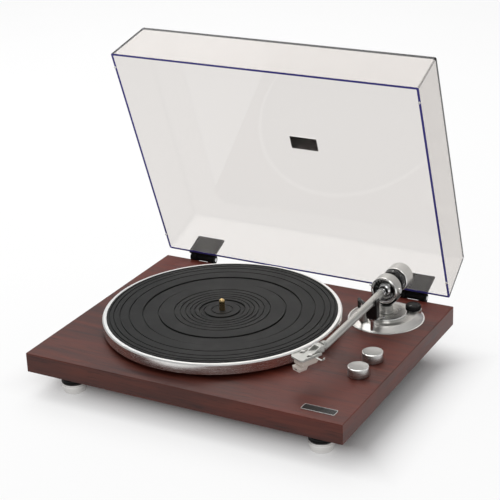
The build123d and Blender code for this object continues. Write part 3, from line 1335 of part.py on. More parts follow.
# Hinges: base with two cheeks on the plinth, pin, and a leaf on the cover
HINGE_Z = DECK + HINGE_UP
HINGE_Y = BACK_FACE + HINGE_BACK
leaf_w = HINGE_W - 2 * HINGE_CHEEK_W - 2 * SIDE_PLAY
cover_plane = Plane(
    origin=(0, MID_Y + HINGE_Y, HINGE_Z),
    x_dir=(1, 0, 0),
    z_dir=(0, sin(radians(COVER_OPEN)), cos(radians(COVER_OPEN))),
)
RIM_BACK = -HINGE_BACK - COVER_SETBACK
RIM_FRONT = RIM_BACK - COVER_D
RIM_Z = COVER_GAP - HINGE_UP
draft_lean = COVER_DRAFT_BACK / COVER_H
hinge_bases, hinge_pins, hinge_leaves, hinge_screws = [], [], [], []
for x in (-HINGE_X, HINGE_X):
    across = Plane(origin=(x, MID_Y + HINGE_Y, HINGE_Z), x_dir=(0, 1, 0), z_dir=(1, 0, 0))
    with BuildPart() as hinge_base:
        with BuildSketch(across):
            Circle(HINGE_CHEEK_R)
            with Locations((HINGE_TAIL_T / 2 - HINGE_BACK, -(HINGE_UP + HINGE_TAIL_DROP) / 2)):
                Rectangle(HINGE_TAIL_T, HINGE_UP + HINGE_TAIL_DROP)
            with Locations((-HINGE_BACK - HINGE_CHEEK_R, -HINGE_UP - HINGE_CHEEK_R)):
                Rectangle(2 * HINGE_CHEEK_R, 2 * HINGE_CHEEK_R, mode=Mode.SUBTRACT)
        extrude(amount=HINGE_W / 2, both=True)
        with BuildSketch(across):
            Circle(HINGE_CHEEK_R + HINGE_LEAF_ROOM)
        extrude(amount=leaf_w / 2 + SIDE_PLAY, both=True, mode=Mode.SUBTRACT)
        with BuildSketch(across):
            Circle(HINGE_PIN_R + RUN)
        extrude(amount=HINGE_W, both=True, mode=Mode.SUBTRACT)
        with BuildSketch(Plane(origin=(x, MID_Y + BACK_FACE, 0), x_dir=(1, 0, 0), z_dir=(0, -1, 0))):
            for step in (-HINGE_SCREW_PITCH / 2, HINGE_SCREW_PITCH / 2):
                with Locations((step, DECK - HINGE_SCREW_DROP)):
                    Circle(SCREW_R + FIT)
        extrude(amount=-HINGE_TAIL_T, mode=Mode.SUBTRACT)
    hinge_bases.append(hinge_base.part)
    with BuildPart() as hinge_pin:
        with BuildSketch(across.offset(-HINGE_W / 2 - FIT)):
            Circle(HINGE_PIN_R)
        extrude(amount=HINGE_W + 2 * FIT)
        with BuildSketch(across.offset(-HINGE_W / 2 - HINGE_PIN_HEAD_T - FIT)):
            Circle(HINGE_PIN_HEAD_R)
        extrude(amount=HINGE_PIN_HEAD_T)
        with BuildSketch(across.offset(HINGE_W / 2 + FIT)):
            Circle(HINGE_PIN_HEAD_R)
        extrude(amount=HINGE_PIN_HEAD_T)
    hinge_pins.append(hinge_pin.part)
    for step in (-HINGE_SCREW_PITCH / 2, HINGE_SCREW_PITCH / 2):
        with BuildPart() as hinge_screw:
            with BuildSketch(rear.offset(HINGE_TAIL_T)):
                with Locations((-(x + step), DECK - HINGE_SCREW_DROP)):
                    Circle(SCREW_HEAD_R)
            extrude(amount=SCREW_HEAD_T)
            with BuildSketch(rear.offset(HINGE_TAIL_T)):
                with Locations((-(x + step), DECK - HINGE_SCREW_DROP)):
                    Circle(SCREW_R)
            extrude(amount=-SCREW_LENGTH)
        hinge_screws.append(hinge_screw.part)
    leaf = Plane(origin=cover_plane.from_local_coords((x, 0, 0)), x_dir=-cover_plane.y_dir, z_dir=(-1, 0, 0))
    with BuildPart() as hinge_leaf:
        with BuildSketch(leaf):
            Circle(HINGE_KNUCKLE_R)
            with BuildLine():
                Polyline(
                    (0, -HINGE_ARM_BOTTOM),
                    (0, HINGE_KNUCKLE_R),
                    (-RIM_BACK, HINGE_ARM_TOP),
                    (-RIM_BACK, RIM_Z),
                    close=True,
                )
            make_face()
            Circle(HINGE_PIN_R + RUN, mode=Mode.SUBTRACT)
        extrude(amount=leaf_w / 2, both=True)
        with BuildSketch(leaf):
            with BuildLine():
                lean = draft_lean * HINGE_PLATE_H
                Polyline(
                    (-RIM_BACK - FIT, RIM_Z),
                    (-RIM_BACK - FIT + lean, RIM_Z + HINGE_PLATE_H),
                    (-RIM_BACK - HINGE_PLATE_T + lean, RIM_Z + HINGE_PLATE_H),
                    (-RIM_BACK - HINGE_PLATE_T, RIM_Z),
                    close=True,
                )
            make_face()
        extrude(amount=HINGE_PLATE_W / 2, both=True)
        with BuildSketch(leaf):
            with BuildLine():
                Polyline(
                    (-RIM_BACK - FIT, RIM_Z),
                    (-RIM_BACK - FIT + lean, RIM_Z + HINGE_PLATE_H),
                    (-RIM_BACK + PLINTH_T, RIM_Z + HINGE_PLATE_H),
                    (-RIM_BACK + PLINTH_T, RIM_Z),
                    close=True,
                )
            make_face()
        extrude(amount=HINGE_PLATE_W, both=True, mode=Mode.SUBTRACT)
    hinge_leaves.append(hinge_leaf.part)
save(joined(hinge_bases), "hinge_bases")
save(joined(hinge_pins), "hinge_pins")
save(joined(hinge_leaves), "hinge_leaves")
save(joined(hinge_screws), "hinge_screws")


# Dust cover, drawn closed about the hinge axis in a plane that is tipped to the open angle
def cover_section(height, inset):
    """Corner to corner size and middle of the cover at a height above its rim, less an inset all round."""
    share = height / COVER_H
    back = RIM_BACK - COVER_DRAFT_BACK * share - inset
    front = RIM_FRONT + COVER_DRAFT_FRONT * share + inset
    width = COVER_W - 2 * COVER_DRAFT_SIDE * share - 2 * inset
    return width, back - front, (back + front) / 2


with BuildPart() as dust_cover:
    for inset, top, mode in ((0.0, COVER_H, Mode.ADD), (COVER_WALL, COVER_H - COVER_WALL, Mode.SUBTRACT)):
        for height in (0.0, top):
            with BuildSketch(cover_plane.offset(RIM_Z + height)):
                width, depth, middle = cover_section(height, inset)
                with Locations((0, middle)):
                    RectangleRounded(width, depth, COVER_CORNER_R - inset * 0.8)
        loft(mode=mode)
save(dust_cover.part, "dust_cover")

with BuildPart() as cover_badge:
    with BuildSketch(cover_plane.offset(RIM_Z + COVER_H)):
        with Locations((0, cover_section(COVER_H, 0)[2])):
            RectangleRounded(COVER_BADGE_W, COVER_BADGE_D, BADGE_CORNER_R)
    extrude(amount=COVER_BADGE_T)
save(cover_badge.part, "cover_badge")

bumpers = []
for x in (-(COVER_W - COVER_WALL) / 2, (COVER_W - COVER_WALL) / 2):
    for y in (RIM_FRONT + BUMPER_FROM_FRONT, RIM_BACK - BUMPER_FROM_BACK):
        with BuildPart() as bumper:
            with BuildSketch(cover_plane.offset(RIM_Z)):
                with Locations((x, y)):
                    Circle(BUMPER_R)
            extrude(amount=SEAT - COVER_GAP)
        bumpers.append(bumper.part)
save(joined(bumpers), "cover_bumpers")
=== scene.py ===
"""Looks of the record player: its finishes, its detailed pieces, the floor, the light and the camera."""

from math import cos, pi, radians, sin, tau

import bmesh
import bpy
from mathutils import Matrix, Vector


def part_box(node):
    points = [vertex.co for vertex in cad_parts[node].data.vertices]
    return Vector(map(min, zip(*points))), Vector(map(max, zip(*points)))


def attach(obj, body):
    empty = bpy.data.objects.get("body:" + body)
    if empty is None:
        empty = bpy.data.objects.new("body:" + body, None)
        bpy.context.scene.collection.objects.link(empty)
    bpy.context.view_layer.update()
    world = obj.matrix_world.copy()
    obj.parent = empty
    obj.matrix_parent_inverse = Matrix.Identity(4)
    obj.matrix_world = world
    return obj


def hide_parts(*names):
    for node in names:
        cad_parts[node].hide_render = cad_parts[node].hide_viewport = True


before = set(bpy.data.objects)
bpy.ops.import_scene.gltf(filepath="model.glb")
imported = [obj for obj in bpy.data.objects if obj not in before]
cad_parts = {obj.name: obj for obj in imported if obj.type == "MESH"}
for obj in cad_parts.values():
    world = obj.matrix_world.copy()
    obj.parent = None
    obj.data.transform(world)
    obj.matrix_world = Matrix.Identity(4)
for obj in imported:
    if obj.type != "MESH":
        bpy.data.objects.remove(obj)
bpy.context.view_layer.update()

# Outlines and sizes are in millimetres, and places read from the frame are in metres
MILLI = Matrix.Scale(0.001, 4)
ROUND_STEPS = 128
FINE_STEPS = 256
CREASE = radians(22.8)
COVER_CREASE = radians(6)
SAME_POINT = 2e-6


# Places in the shared frame
def middle(node):
    low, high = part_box(node)
    return (low + high) / 2


def extent(node):
    low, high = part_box(node)
    return high - low


def underside(node):
    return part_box(node)[0].z


def top(node):
    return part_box(node)[1].z


def at(point, *turns):
    """A frame in millimetres at a point, turned by pairs of degrees and axis."""
    place = Matrix.Translation(point)
    for angle, axis in turns:
        place = place @ Matrix.Rotation(radians(angle), 4, axis)
    return place @ MILLI


def upright(node, height):
    """A frame on a node's upright middle line, at a height in metres."""
    return at(Vector((middle(node).x, middle(node).y, height)))


PLATTER_MIDDLE = middle("platter")
DECK = top("plinth")
PIVOT = Vector((middle("arm_pillar").x, middle("arm_pillar").y, middle("gimbal_ring").z))
ALONG_ARM = at(PIVOT, (-90, "X"))
HEAD_OFFSET = 24.0
HEAD_START = PIVOT + Vector((0.0003, -0.1675, 0))
ALONG_HEAD = at(HEAD_START, (-90 - HEAD_OFFSET, "Z"))
COVER_OPEN = 70.26
HINGE_AXIS = Vector((0, middle("hinge_pins").y, middle("hinge_pins").z))
COVER_PLACE = at(HINGE_AXIS, (-COVER_OPEN, "X"))


# Outlines
def rounded(outline, radius, steps=5):
    """A closed outline with each corner turned into a smooth bend."""
    bent = []
    count = len(outline)
    for i in range(count):
        before, corner, after = (Vector(outline[(i + k) % count]) for k in (-1, 0, 1))
        back, ahead = before - corner, after - corner
        reach = min(radius, back.length * 0.48, ahead.length * 0.48)
        start = corner + back.normalized() * reach
        end = corner + ahead.normalized() * reach
        for k in range(steps + 1):
            t = k / steps
            bent.append((1 - t) ** 2 * start + 2 * t * (1 - t) * corner + t * t * end)
    return bent


def inset(outline, distance):
    """An anticlockwise outline moved inwards."""
    moved = []
    count = len(outline)
    for i in range(count):
        before, corner, after = (Vector(outline[(i + k) % count]) for k in (-1, 0, 1))
        first, second = (corner - before).normalized(), (after - corner).normalized()
        normals = Vector((-first.y, first.x)) + Vector((-second.y, second.x))
        share = max(1 + first.dot(second), 0.2)
        moved.append(corner + normals * distance / share)
    return moved


def lifted(outline, height):
    return [(p[0], p[1], height) for p in outline]


def rectangle(width, depth, x=0.0, y=0.0):
    left, right, front, rear = x - width / 2, x + width / 2, y - depth / 2, y + depth / 2
    return [(left, front), (right, front), (right, rear), (left, rear)]


def circle(radius, x=0.0, y=0.0, steps=48):
    return [(x + radius * cos(tau * k / steps), y + radius * sin(tau * k / steps)) for k in range(steps)]


def slot_outline(length, width, x, y, steps=10):
    """A slot with round ends whose length runs along the first axis."""
    reach, radius = (length - width) / 2, width / 2
    points = []
    for side, start in ((1, -pi / 2), (-1, pi / 2)):
        for k in range(steps + 1):
            angle = start + pi * k / steps
            points.append((x + side * reach + radius * cos(angle), y + radius * sin(angle)))
    return points


# Meshes
class Shape:
    """A mesh under construction, gathered in the shared frame."""

    def __init__(self, mesh=None):
        self.mesh = bmesh.new() if mesh is None else mesh

    def skin(self, rings, place=MILLI, finish=0, looped=False):
        """Faces between rings of points, with a cap at both ends unless the rings run in a loop."""
        pick = finish if callable(finish) else lambda ring, point: finish
        rows = [[self.mesh.verts.new(place @ Vector(point)) for point in ring] for ring in rings]
        pairs = zip(rows, rows[1:] + rows[:1]) if looped else zip(rows, rows[1:])
        for r, (a, b) in enumerate(pairs):
            for i in range(len(a)):
                j = (i + 1) % len(a)
                self.mesh.faces.new((a[i], a[j], b[j], b[i])).material_index = pick(r, i)
        if not looped:
            self.mesh.faces.new(rows[0][::-1]).material_index = pick(0, 0)
            self.mesh.faces.new(rows[-1]).material_index = pick(len(rows) - 1, 0)
        return self

    def turned(self, outline, place, finish=0, steps=ROUND_STEPS):
        """A closed (radius, height) outline swept about the place's third axis; a list of
        finishes gives one to the band that starts at each point of the outline."""
        turns = [tau * k / steps for k in range(steps)]
        rings = [[(r * cos(turn), r * sin(turn), height) for r, height in outline] for turn in turns]
        pick = (lambda ring, point: finish[point]) if isinstance(finish, list) else finish
        return self.skin(rings, place, pick, looped=True)

    def plate(self, outline, low, high, place, edge=0.0, finish=0):
        """An anticlockwise outline raised from low to high, its rims eased by the edge."""
        ease = [(0.0, edge), (edge * 0.3, edge * 0.3), (edge, 0.0)] if edge else [(0.0, 0.0)]
        levels = [(low + rise, shrink) for rise, shrink in ease]
        levels += [(high - rise, shrink) for rise, shrink in reversed(ease)]
        return self.skin([lifted(inset(outline, shrink), z) for z, shrink in levels], place, finish)

    def rod(self, path, radii, place=MILLI, finish=0, sides=16, flat=1.0):
        """A round bar along a path, its radius given at each point; flat squashes its second way."""
        points = [Vector(p) for p in path]
        turns = [tau * k / sides for k in range(sides)]
        rings = []
        across = None
        for i, point in enumerate(points):
            ahead = (points[min(i + 1, len(points) - 1)] - points[max(i - 1, 0)]).normalized()
            if across is None:
                across = Vector((0, 0, 1)) if abs(ahead.z) < 0.9 else Vector((1, 0, 0))
            across = (across - ahead * across.dot(ahead)).normalized()
            second = ahead.cross(across)
            rings.append([point + radii[i] * (across * cos(t) * flat + second * sin(t)) for t in turns])
        return self.skin(rings, place, finish)

    def made(self, name, finishes, crease=CREASE):
        """The finished mesh as an object, closed, outward and smooth but for its creases."""
        bmesh.ops.remove_doubles(self.mesh, verts=self.mesh.verts, dist=SAME_POINT)
        bmesh.ops.dissolve_degenerate(self.mesh, edges=self.mesh.edges, dist=SAME_POINT / 2)
        bmesh.ops.recalc_face_normals(self.mesh, faces=self.mesh.faces)
        data = bpy.data.meshes.new(name)
        self.mesh.to_mesh(data)
        self.mesh.free()
        for finish in finishes:
            data.materials.append(finish)
        smooth(data, crease)
        return stood(name, data)

    def piece(self, name, finishes, body, slot, *stands_for):
        return settled(self.made(name, finishes), body, slot, *stands_for)


def smooth(data, crease=CREASE):
    data.shade_smooth()
    data.set_sharp_from_angle(angle=crease)


def stood(name, data):
    thing = bpy.data.objects.new(name, data)
    bpy.context.scene.collection.objects.link(thing)
    return thing


def settled(thing, body, slot, *stands_for):
    """Gives a piece its body and hides the nodes that it stands for; its material slot is not used."""
    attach(thing, body)
    if stands_for:
        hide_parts(*stands_for)
    return thing


def mesh_of(thing):
    """A thing's mesh, kept without its object."""
    data = thing.data
    bpy.data.objects.remove(thing)
    return data


def plain(thing):
    """Turns what a piece's modifiers make into its own plain mesh."""
    evaluated = thing.evaluated_get(bpy.context.evaluated_depsgraph_get())
    data = bpy.data.meshes.new_from_object(evaluated)
    thing.modifiers.clear()
    thing.data = data
    smooth(data)
    return thing


def cut(thing, *shapes):
    """Takes closed shapes out of a piece."""
    for shape in shapes:
        cutter = shape.made("cutter", [thing.data.materials[0]])
        taken = thing.modifiers.new("cut", "BOOLEAN")
        taken.operation = "DIFFERENCE"
        taken.solver = "EXACT"
        taken.object = cutter
        plain(thing)
        bpy.data.objects.remove(cutter)
    return thing


def eased(node, width, finish, body, slot):
    """A node's own form with its sharp edges broken."""
    form = bmesh.new()
    form.from_mesh(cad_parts[node].data)
    form.transform(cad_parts[node].matrix_world)
    bmesh.ops.remove_doubles(form, verts=form.verts, dist=SAME_POINT)
    bmesh.ops.dissolve_limit(form, angle_limit=radians(1.5), verts=form.verts, edges=form.edges)
    thing = Shape(form).made(f"{node}_eased", [finish])
    broken = thing.modifiers.new("broken", "BEVEL")
    broken.width = width / 1000
    broken.segments = 2
    broken.limit_method = "ANGLE"
    broken.angle_limit = radians(40)
    return settled(plain(thing), body, slot, node)


# Node graphs
class Link:
    """An output socket that takes part in Python expressions."""

    def __init__(self, graph, socket):
        self.graph = graph
        self.socket = socket

    def __add__(self, other):
        return self.graph.maths("ADD", self, other)

    __radd__ = __add__

    def __sub__(self, other):
        return self.graph.maths("SUBTRACT", self, other)

    def __rsub__(self, other):
        return self.graph.maths("SUBTRACT", other, self)

    def __mul__(self, other):
        return self.graph.maths("MULTIPLY", self, other)

    __rmul__ = __mul__

    def __truediv__(self, other):
        return self.graph.maths("DIVIDE", self, other)

    def __pow__(self, other):
        return self.graph.maths("POWER", self, other)

    def __abs__(self):
        return self.graph.maths("ABSOLUTE", self)


class Graph:
    """A node tree that is written as calls and expressions."""

    def __init__(self, tree):
        self.tree = tree

    def join(self, socket, value):
        if isinstance(value, Link):
            self.tree.links.new(value.socket, socket)
        else:
            socket.default_value = value

    def node(self, kind, settings=None, values=(), output=0):
        """A node of a type, with its settings made first, then the values or links of its sockets."""
        made = self.tree.nodes.new(kind)
        for name, value in (settings or {}).items():
            setattr(made, name, value)
        for key, value in values.items() if isinstance(values, dict) else enumerate(values):
            self.join(made.inputs[key], value)
        return Link(self, made.outputs[output])

    def outlets(self, kind):
        """Every output of a fresh node, by name."""
        return {socket.name: Link(self, socket) for socket in self.tree.nodes.new(kind).outputs}

    def end(self, kind, result):
        """The node that the tree ends in, fed by its result."""
        self.join(self.tree.nodes.new(kind).inputs[0], result)

    def maths(self, operation, *terms):
        return self.node("ShaderNodeMath", {"operation": operation}, terms)

    def spread(self, value, low, high, to_low=0.0, to_high=1.0):
        return self.node("ShaderNodeMapRange", None, (value, low, high, to_low, to_high))

    def part(self, vector, axis):
        return self.node("ShaderNodeSeparateXYZ", None, (vector,), axis)


class Finish(Graph):
    """A material round one principled shader."""

    def __init__(self, name, colour, rough, metal=0.0, **sockets):
        self.material = bpy.data.materials.new(name)
        self.material.use_nodes = True
        super().__init__(self.material.node_tree)
        self.tree.nodes.clear()
        self.shader = self.node("ShaderNodeBsdfPrincipled")
        self.set("Base Color", solid(colour))
        self.set("Roughness", rough)
        self.set("Metallic", metal)
        for socket, value in sockets.items():
            self.set(socket.replace("_", " ").title().replace("Ior", "IOR"), value)

    def set(self, name, value):
        self.join(self.shader.socket.node.inputs[name], value)

    def done(self, surface=None):
        """The material, once its surface is joined to its output."""
        self.end("ShaderNodeOutputMaterial", surface or self.shader)
        return self.material

    def place(self, scale=(1, 1, 1), centre=(0, 0, 0)):
        spot = self.node("ShaderNodeTexCoord", output="Object")
        moved = self.node("ShaderNodeVectorMath", {"operation": "SUBTRACT"}, (spot, tuple(centre)))
        return self.node("ShaderNodeVectorMath", {"operation": "MULTIPLY"}, (moved, scale))

    def noise(self, place, scale, detail=3.0, distortion=0.0):
        values = {"Vector": place, "Scale": scale, "Detail": detail, "Distortion": distortion}
        return self.node("ShaderNodeTexNoise", None, values)

    def mix(self, share, first, second):
        """A blend of two colours, which the node takes at its inputs 6 and 7 and gives at output 2."""
        return self.node("ShaderNodeMix", {"data_type": "RGBA"}, {0: share, 6: first, 7: second}, 2)

    def bump(self, height, strength, distance):
        values = {"Strength": strength, "Distance": distance, "Height": height}
        self.set("Normal", self.node("ShaderNodeBump", None, values))

    def turning_marks(self, centre, pitch):
        """Fine rings about the plumb line through a point."""
        spot = self.place((1, 1, 1), centre)
        x, y, z = (self.part(spot, axis) for axis in range(3))
        reach = (x * x + y * y) ** 0.5
        vector = self.node("ShaderNodeCombineXYZ", None, (reach / pitch, z / pitch, 0.0))
        return self.noise(vector, 1.0, 2.0)


def srgb(*levels):
    """A colour as seen on a screen, its levels from 0 to 255, as the shader takes it."""
    return tuple(((c / 255 + 0.055) / 1.055) ** 2.4 if c > 10 else c / 255 / 12.92 for c in levels)


def solid(colour, share=1.0):
    """A colour with full cover, dimmed to a share of itself."""
    return (*(c * share for c in colour), 1.0)


# Finishes
def walnut_finish():
    """Dark red-brown veneer, its grain along each edge of the board, under a satin lacquer."""
    lacquer = {"coat_weight": 0.1, "coat_roughness": 0.25, "specular_ior_level": 0.25}
    wood = Finish("walnut_veneer", srgb(82, 40, 32), 0.48, **lacquer)
    facing = wood.part(wood.node("ShaderNodeNewGeometry", output="Normal"), 0)
    on_side = wood.spread(abs(facing), 0.6, 0.7)
    grains = []
    for stretch in ((3.0, 46.0, 46.0), (46.0, 3.0, 46.0)):
        wide = wood.noise(wood.place(stretch), 1.0, 6.0, 0.7)
        streak = wood.noise(wood.place(tuple(s * 3.1 for s in stretch), (0.3, 0.2, 0.1)), 1.0, 4.0, 0.3)
        pores = wood.noise(wood.place(tuple(s * 14 for s in stretch)), 1.0, 2.0)
        grains.append((wide * 0.55 + streak * 0.45, pores))
    (tone_along, pores_along), (tone_across, pores_across) = grains
    tone = tone_along * (1 - on_side) + tone_across * on_side
    pores = pores_along * (1 - on_side) + pores_across * on_side
    base = wood.mix(wood.spread(tone, 0.34, 0.66), solid(srgb(56, 22, 17)), solid(srgb(103, 49, 36)))
    figure = wood.noise(wood.place((2.2, 9.0, 9.0), (0.1, 0.0, 0.0)), 1.0, 3.0, 1.2)
    base = wood.mix(wood.spread(figure, 0.45, 0.7) * 0.55, base, solid(srgb(104, 38, 26)))
    base = wood.mix(wood.spread(figure, 0.5, 0.3) * 0.4, base, solid(srgb(44, 20, 17)))
    open_pores = wood.spread(pores, 0.58, 0.7)
    wood.set("Base Color", wood.mix(open_pores * 0.5, base, solid(srgb(36, 14, 11))))
    wood.set("Roughness", wood.spread(tone, 0.3, 0.7, 0.4, 0.54))
    wood.bump(0.5 - open_pores, 0.12, 0.0004)
    return wood.done()


def spun_finish(name, colour, rough, centre, pitch=0.0007, marks=0.08):
    """Lathe-turned metal with fine rings about its own axis."""
    metal = Finish(name, colour, rough, 1.0)
    lines = metal.turning_marks(centre, pitch)
    metal.set("Roughness", metal.spread(lines, 0.3, 0.7, rough * 0.85, rough * 1.2))
    metal.set("Base Color", metal.mix(metal.spread(lines, 0.35, 0.65), solid(colour, 0.95), solid(colour)))
    metal.bump(lines, marks, 0.00003)
    return metal.done()


def cast_finish(name, colour, rough, metal=1.0, grain=900.0, relief=0.12, **sockets):
    """Blasted or cast surface with a fine even grain and slight handling marks."""
    cast = Finish(name, colour, rough, metal, **sockets)
    fine = cast.noise(cast.place(), grain, 3.0)
    broad = cast.noise(cast.place(), 45.0, 4.0)
    cast.set("Roughness", cast.spread(broad, 0.3, 0.7, rough * 0.85, rough * 1.2))
    cast.set("Base Color", cast.mix(cast.spread(fine, 0.3, 0.7), solid(colour, 0.88), solid(colour)))
    cast.bump(fine, relief, 0.0001)
    return cast.done()


def moulded_finish(name, colour, rough, grain, relief, shine=0.5):
    """Plastic or paint with the grain of a cast surface."""
    return cast_finish(name, colour, rough, 0.0, grain, relief, specular_ior_level=shine)


def brushed_finish(name, colour, rough, stretch):
    """Metal brushed along one way; the stretch has its small number there."""
    metal = Finish(name, colour, rough, 1.0)
    lines = metal.noise(metal.place(stretch), 1.0, 3.0)
    metal.set("Roughness", metal.spread(lines, 0.3, 0.7, rough * 0.75, rough * 1.3))
    metal.set("Base Color", metal.mix(metal.spread(lines, 0.35, 0.65), solid(colour, 0.85), solid(colour)))
    metal.bump(lines, 0.15, 0.00006)
    return metal.done()


def rubber_finish(name, colour, rough=0.62, shine=0.5):
    """Matt rubber with a fine skin and a little dust."""
    rubber = Finish(name, colour, rough, specular_ior_level=shine)
    fine = rubber.noise(rubber.place(), 1400.0, 2.0)
    dust = rubber.noise(rubber.place(), 35.0, 5.0)
    dusty = tuple(min(c * 1.5 + 0.006, 1) for c in colour)
    rubber.set("Base Color", rubber.mix(rubber.spread(dust, 0.42, 0.8), solid(colour), solid(dusty)))
    rubber.set("Roughness", rubber.spread(dust, 0.3, 0.7, rough * 0.88, rough * 1.12))
    rubber.bump(fine, 0.2, 0.00008)
    return rubber.done()


def clear_finish(name, colour, shadow, clearness=1.0):
    """Clear acrylic: glass to the eye, a light tint to the lamps' shadows."""
    clear = Finish(name, colour, 0.015, ior=1.27, transmission_weight=clearness)
    haze = clear.noise(clear.place(), 9.0, 3.0)
    clear.set("Roughness", clear.spread(haze, 0.3, 0.7, 0.008, 0.03))
    path = clear.outlets("ShaderNodeLightPath")
    unseen = clear.maths("MAXIMUM", path["Is Shadow Ray"], path["Is Diffuse Ray"])
    tint = clear.node("ShaderNodeBsdfTransparent", None, (solid(shadow),))
    return clear.done(clear.node("ShaderNodeMixShader", None, (unseen, clear.shader, tint)))


WALNUT = walnut_finish()
BLACK = moulded_finish("black_moulding", (0.012,) * 3, 0.5, 1600.0, 0.2, 0.2)
HINGE_BLACK = moulded_finish("hinge_black", (0.01,) * 3, 0.6, 1600.0, 0.2, 0.05)
GLOSS_BLACK = moulded_finish("gloss_black", (0.008,) * 3, 0.22, 700.0, 0.02, 0.4)
PAN_BLACK = moulded_finish("pan_black", (0.02,) * 3, 0.55, 1200.0, 0.3)
NYLON = moulded_finish("sleeve_nylon", (0.72, 0.71, 0.66), 0.5, 800.0, 0.1)
CARTRIDGE_GREY = moulded_finish("cartridge_grey", srgb(226, 216, 206), 0.4, 1300.0, 0.1)
STYLUS_GREY = moulded_finish("stylus_grey", srgb(240, 231, 222), 0.32, 1300.0, 0.06)
BOARD_GREEN = moulded_finish("board_green", (0.02, 0.13, 0.05), 0.4, 500.0, 0.1)
CLEAR_RUBBER = moulded_finish("clear_rubber", (0.7,) * 3, 0.3, 900.0, 0.05)
MARKING = moulded_finish("dial_marking", (0.62, 0.62, 0.6), 0.45, 800.0, 0.02)
# Painted shade for slots that are not cut, put on solid plates
PAINTED_SLOT_SHADE = moulded_finish("slot_shadow", (0.02,) * 3, 0.7, 800.0, 0.05)
FOOT_RUBBER = rubber_finish("foot_rubber", (0.006,) * 3, 0.55, 0.2)
MAT_RUBBER = rubber_finish("mat_rubber", (0.0062, 0.0064, 0.0062), 0.58, 0.2)
BELT = rubber_finish("belt_rubber", (0.012,) * 3)
FELT = rubber_finish("foot_felt", (0.05,) * 3, 0.95)
PLATTER_METAL = spun_finish("platter_metal", (0.86, 0.86, 0.85), 0.3, PLATTER_MIDDLE)
BRASS = spun_finish("polished_brass", (0.62, 0.46, 0.22), 0.26, PLATTER_MIDDLE)
BASE_METAL = spun_finish("base_metal", (0.62, 0.61, 0.585), 0.3, PIVOT)
KNOB_METALS = {
    name: spun_finish(f"{name}_metal", (0.4, 0.397, 0.385), 0.52, middle(name), 0.0005, 0.1)
    for name in ("power_knob", "speed_knob")
}
FOOT_METAL = brushed_finish("foot_metal", (0.9, 0.89, 0.87), 0.42, (60.0, 60.0, 3500.0))
PLATTER_SIDE = brushed_finish("platter_side", (0.88, 0.87, 0.85), 0.22, (60.0, 60.0, 4200.0))
TUBE_SILVER = brushed_finish("tube_silver", (0.52, 0.515, 0.49), 0.4, (2500.0, 60.0, 2500.0))
KNOB_SIDE = brushed_finish("knob_side", (0.56, 0.555, 0.54), 0.3, (60.0, 60.0, 4500.0))
SCREW_STEEL = cast_finish("screw_steel", (0.62, 0.62, 0.61), 0.32)
STEEL = cast_finish("machined_steel", (0.6, 0.6, 0.61), 0.26)
BRONZE = cast_finish("bush_bronze", (0.5, 0.3, 0.14), 0.45)
GOLD = cast_finish("socket_gold", (0.85, 0.66, 0.32), 0.22)
CHROME = cast_finish("bright_chrome", (0.72, 0.72, 0.72), 0.16, 1.0, 300.0, 0.01)
RIM_BRIGHT = cast_finish("bright_rim", (0.9, 0.9, 0.88), 0.2, 1.0, 900.0, 0.04)
BADGE_EDGE = cast_finish("badge_edge", (0.75, 0.75, 0.74), 0.22)
ARM_SILVER = cast_finish("arm_silver", (0.5, 0.495, 0.475), 0.38, 0.85, 1500.0, 0.12)
SHELL_SILVER = cast_finish("shell_silver", (0.5, 0.5, 0.475), 0.4, 0.6, 1500.0, 0.12)
WEIGHT_SILVER = cast_finish("weight_silver", (0.6, 0.595, 0.575), 0.36, 1.0, 1600.0, 0.1)
ACRYLIC = clear_finish("clear_acrylic", (0.78, 0.755, 0.735), (0.93, 0.93, 0.93))
ACRYLIC_EDGE = clear_finish("acrylic_edge", srgb(84, 80, 165), (0.8, 0.8, 0.88), 0.35)

NODE_FINISHES = {
    "plinth": WALNUT, "bottom_pan": PAN_BLACK, "wood_screws": SCREW_STEEL, "foot_isolators": FOOT_RUBBER,
    "foot_cups": FOOT_METAL, "foot_pads": FELT, "foot_bolts": STEEL, "bearing_housing": BRASS,
    "bearing_bushes": BRONZE, "thrust_ball": STEEL, "motor": STEEL, "motor_plate": STEEL,
    "motor_grommets": FOOT_RUBBER, "drive_belt": BELT, "arm_base": BASE_METAL, "arm_plate": BASE_METAL,
    "arm_pillar": ARM_SILVER, "arm_nut": STEEL, "arm_rest_post": CHROME, "arm_rest_clip": GLOSS_BLACK,
    "cue_housing": ARM_SILVER, "deck_badge": GLOSS_BLACK, "control_board": BOARD_GREEN,
    "board_standoffs": NYLON, "socket_plate": BLACK, "phono_sockets": GOLD, "power_inlet": BLACK,
    "ground_post": GOLD, "rotary_switches": BLACK, "hinge_bases": HINGE_BLACK, "hinge_pins": STEEL,
    "hinge_screws": SCREW_STEEL, "platter": PLATTER_METAL, "platter_mat": MAT_RUBBER, "spindle": BRASS,
    "motor_pulley": BRASS, "motor_shaft": STEEL, "dust_cover": ACRYLIC, "hinge_leaves": HINGE_BLACK,
    "cover_badge": GLOSS_BLACK, "cover_bumpers": CLEAR_RUBBER, "yaw_shaft": STEEL, "arm_yoke": GLOSS_BLACK,
    "gimbal_ring": ARM_SILVER, "pivot_screws": ARM_SILVER, "arm_hub": CHROME, "arm_tube": TUBE_SILVER,
    "head_collar": SHELL_SILVER, "headshell": SHELL_SILVER, "cartridge": CARTRIDGE_GREY,
    "cartridge_screws": SCREW_STEEL, "stylus_assembly": STYLUS_GREY, "weight_sleeve": NYLON,
    "counterweight": WEIGHT_SILVER, "force_dial": GLOSS_BLACK, "cue_lever": BLACK, "cue_lift": GLOSS_BLACK,
    "antiskate_dial": BLACK, **KNOB_METALS,
}


def dress_nodes():
    for name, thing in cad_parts.items():
        thing.data.materials.clear()
        thing.data.materials.append(NODE_FINISHES[name])


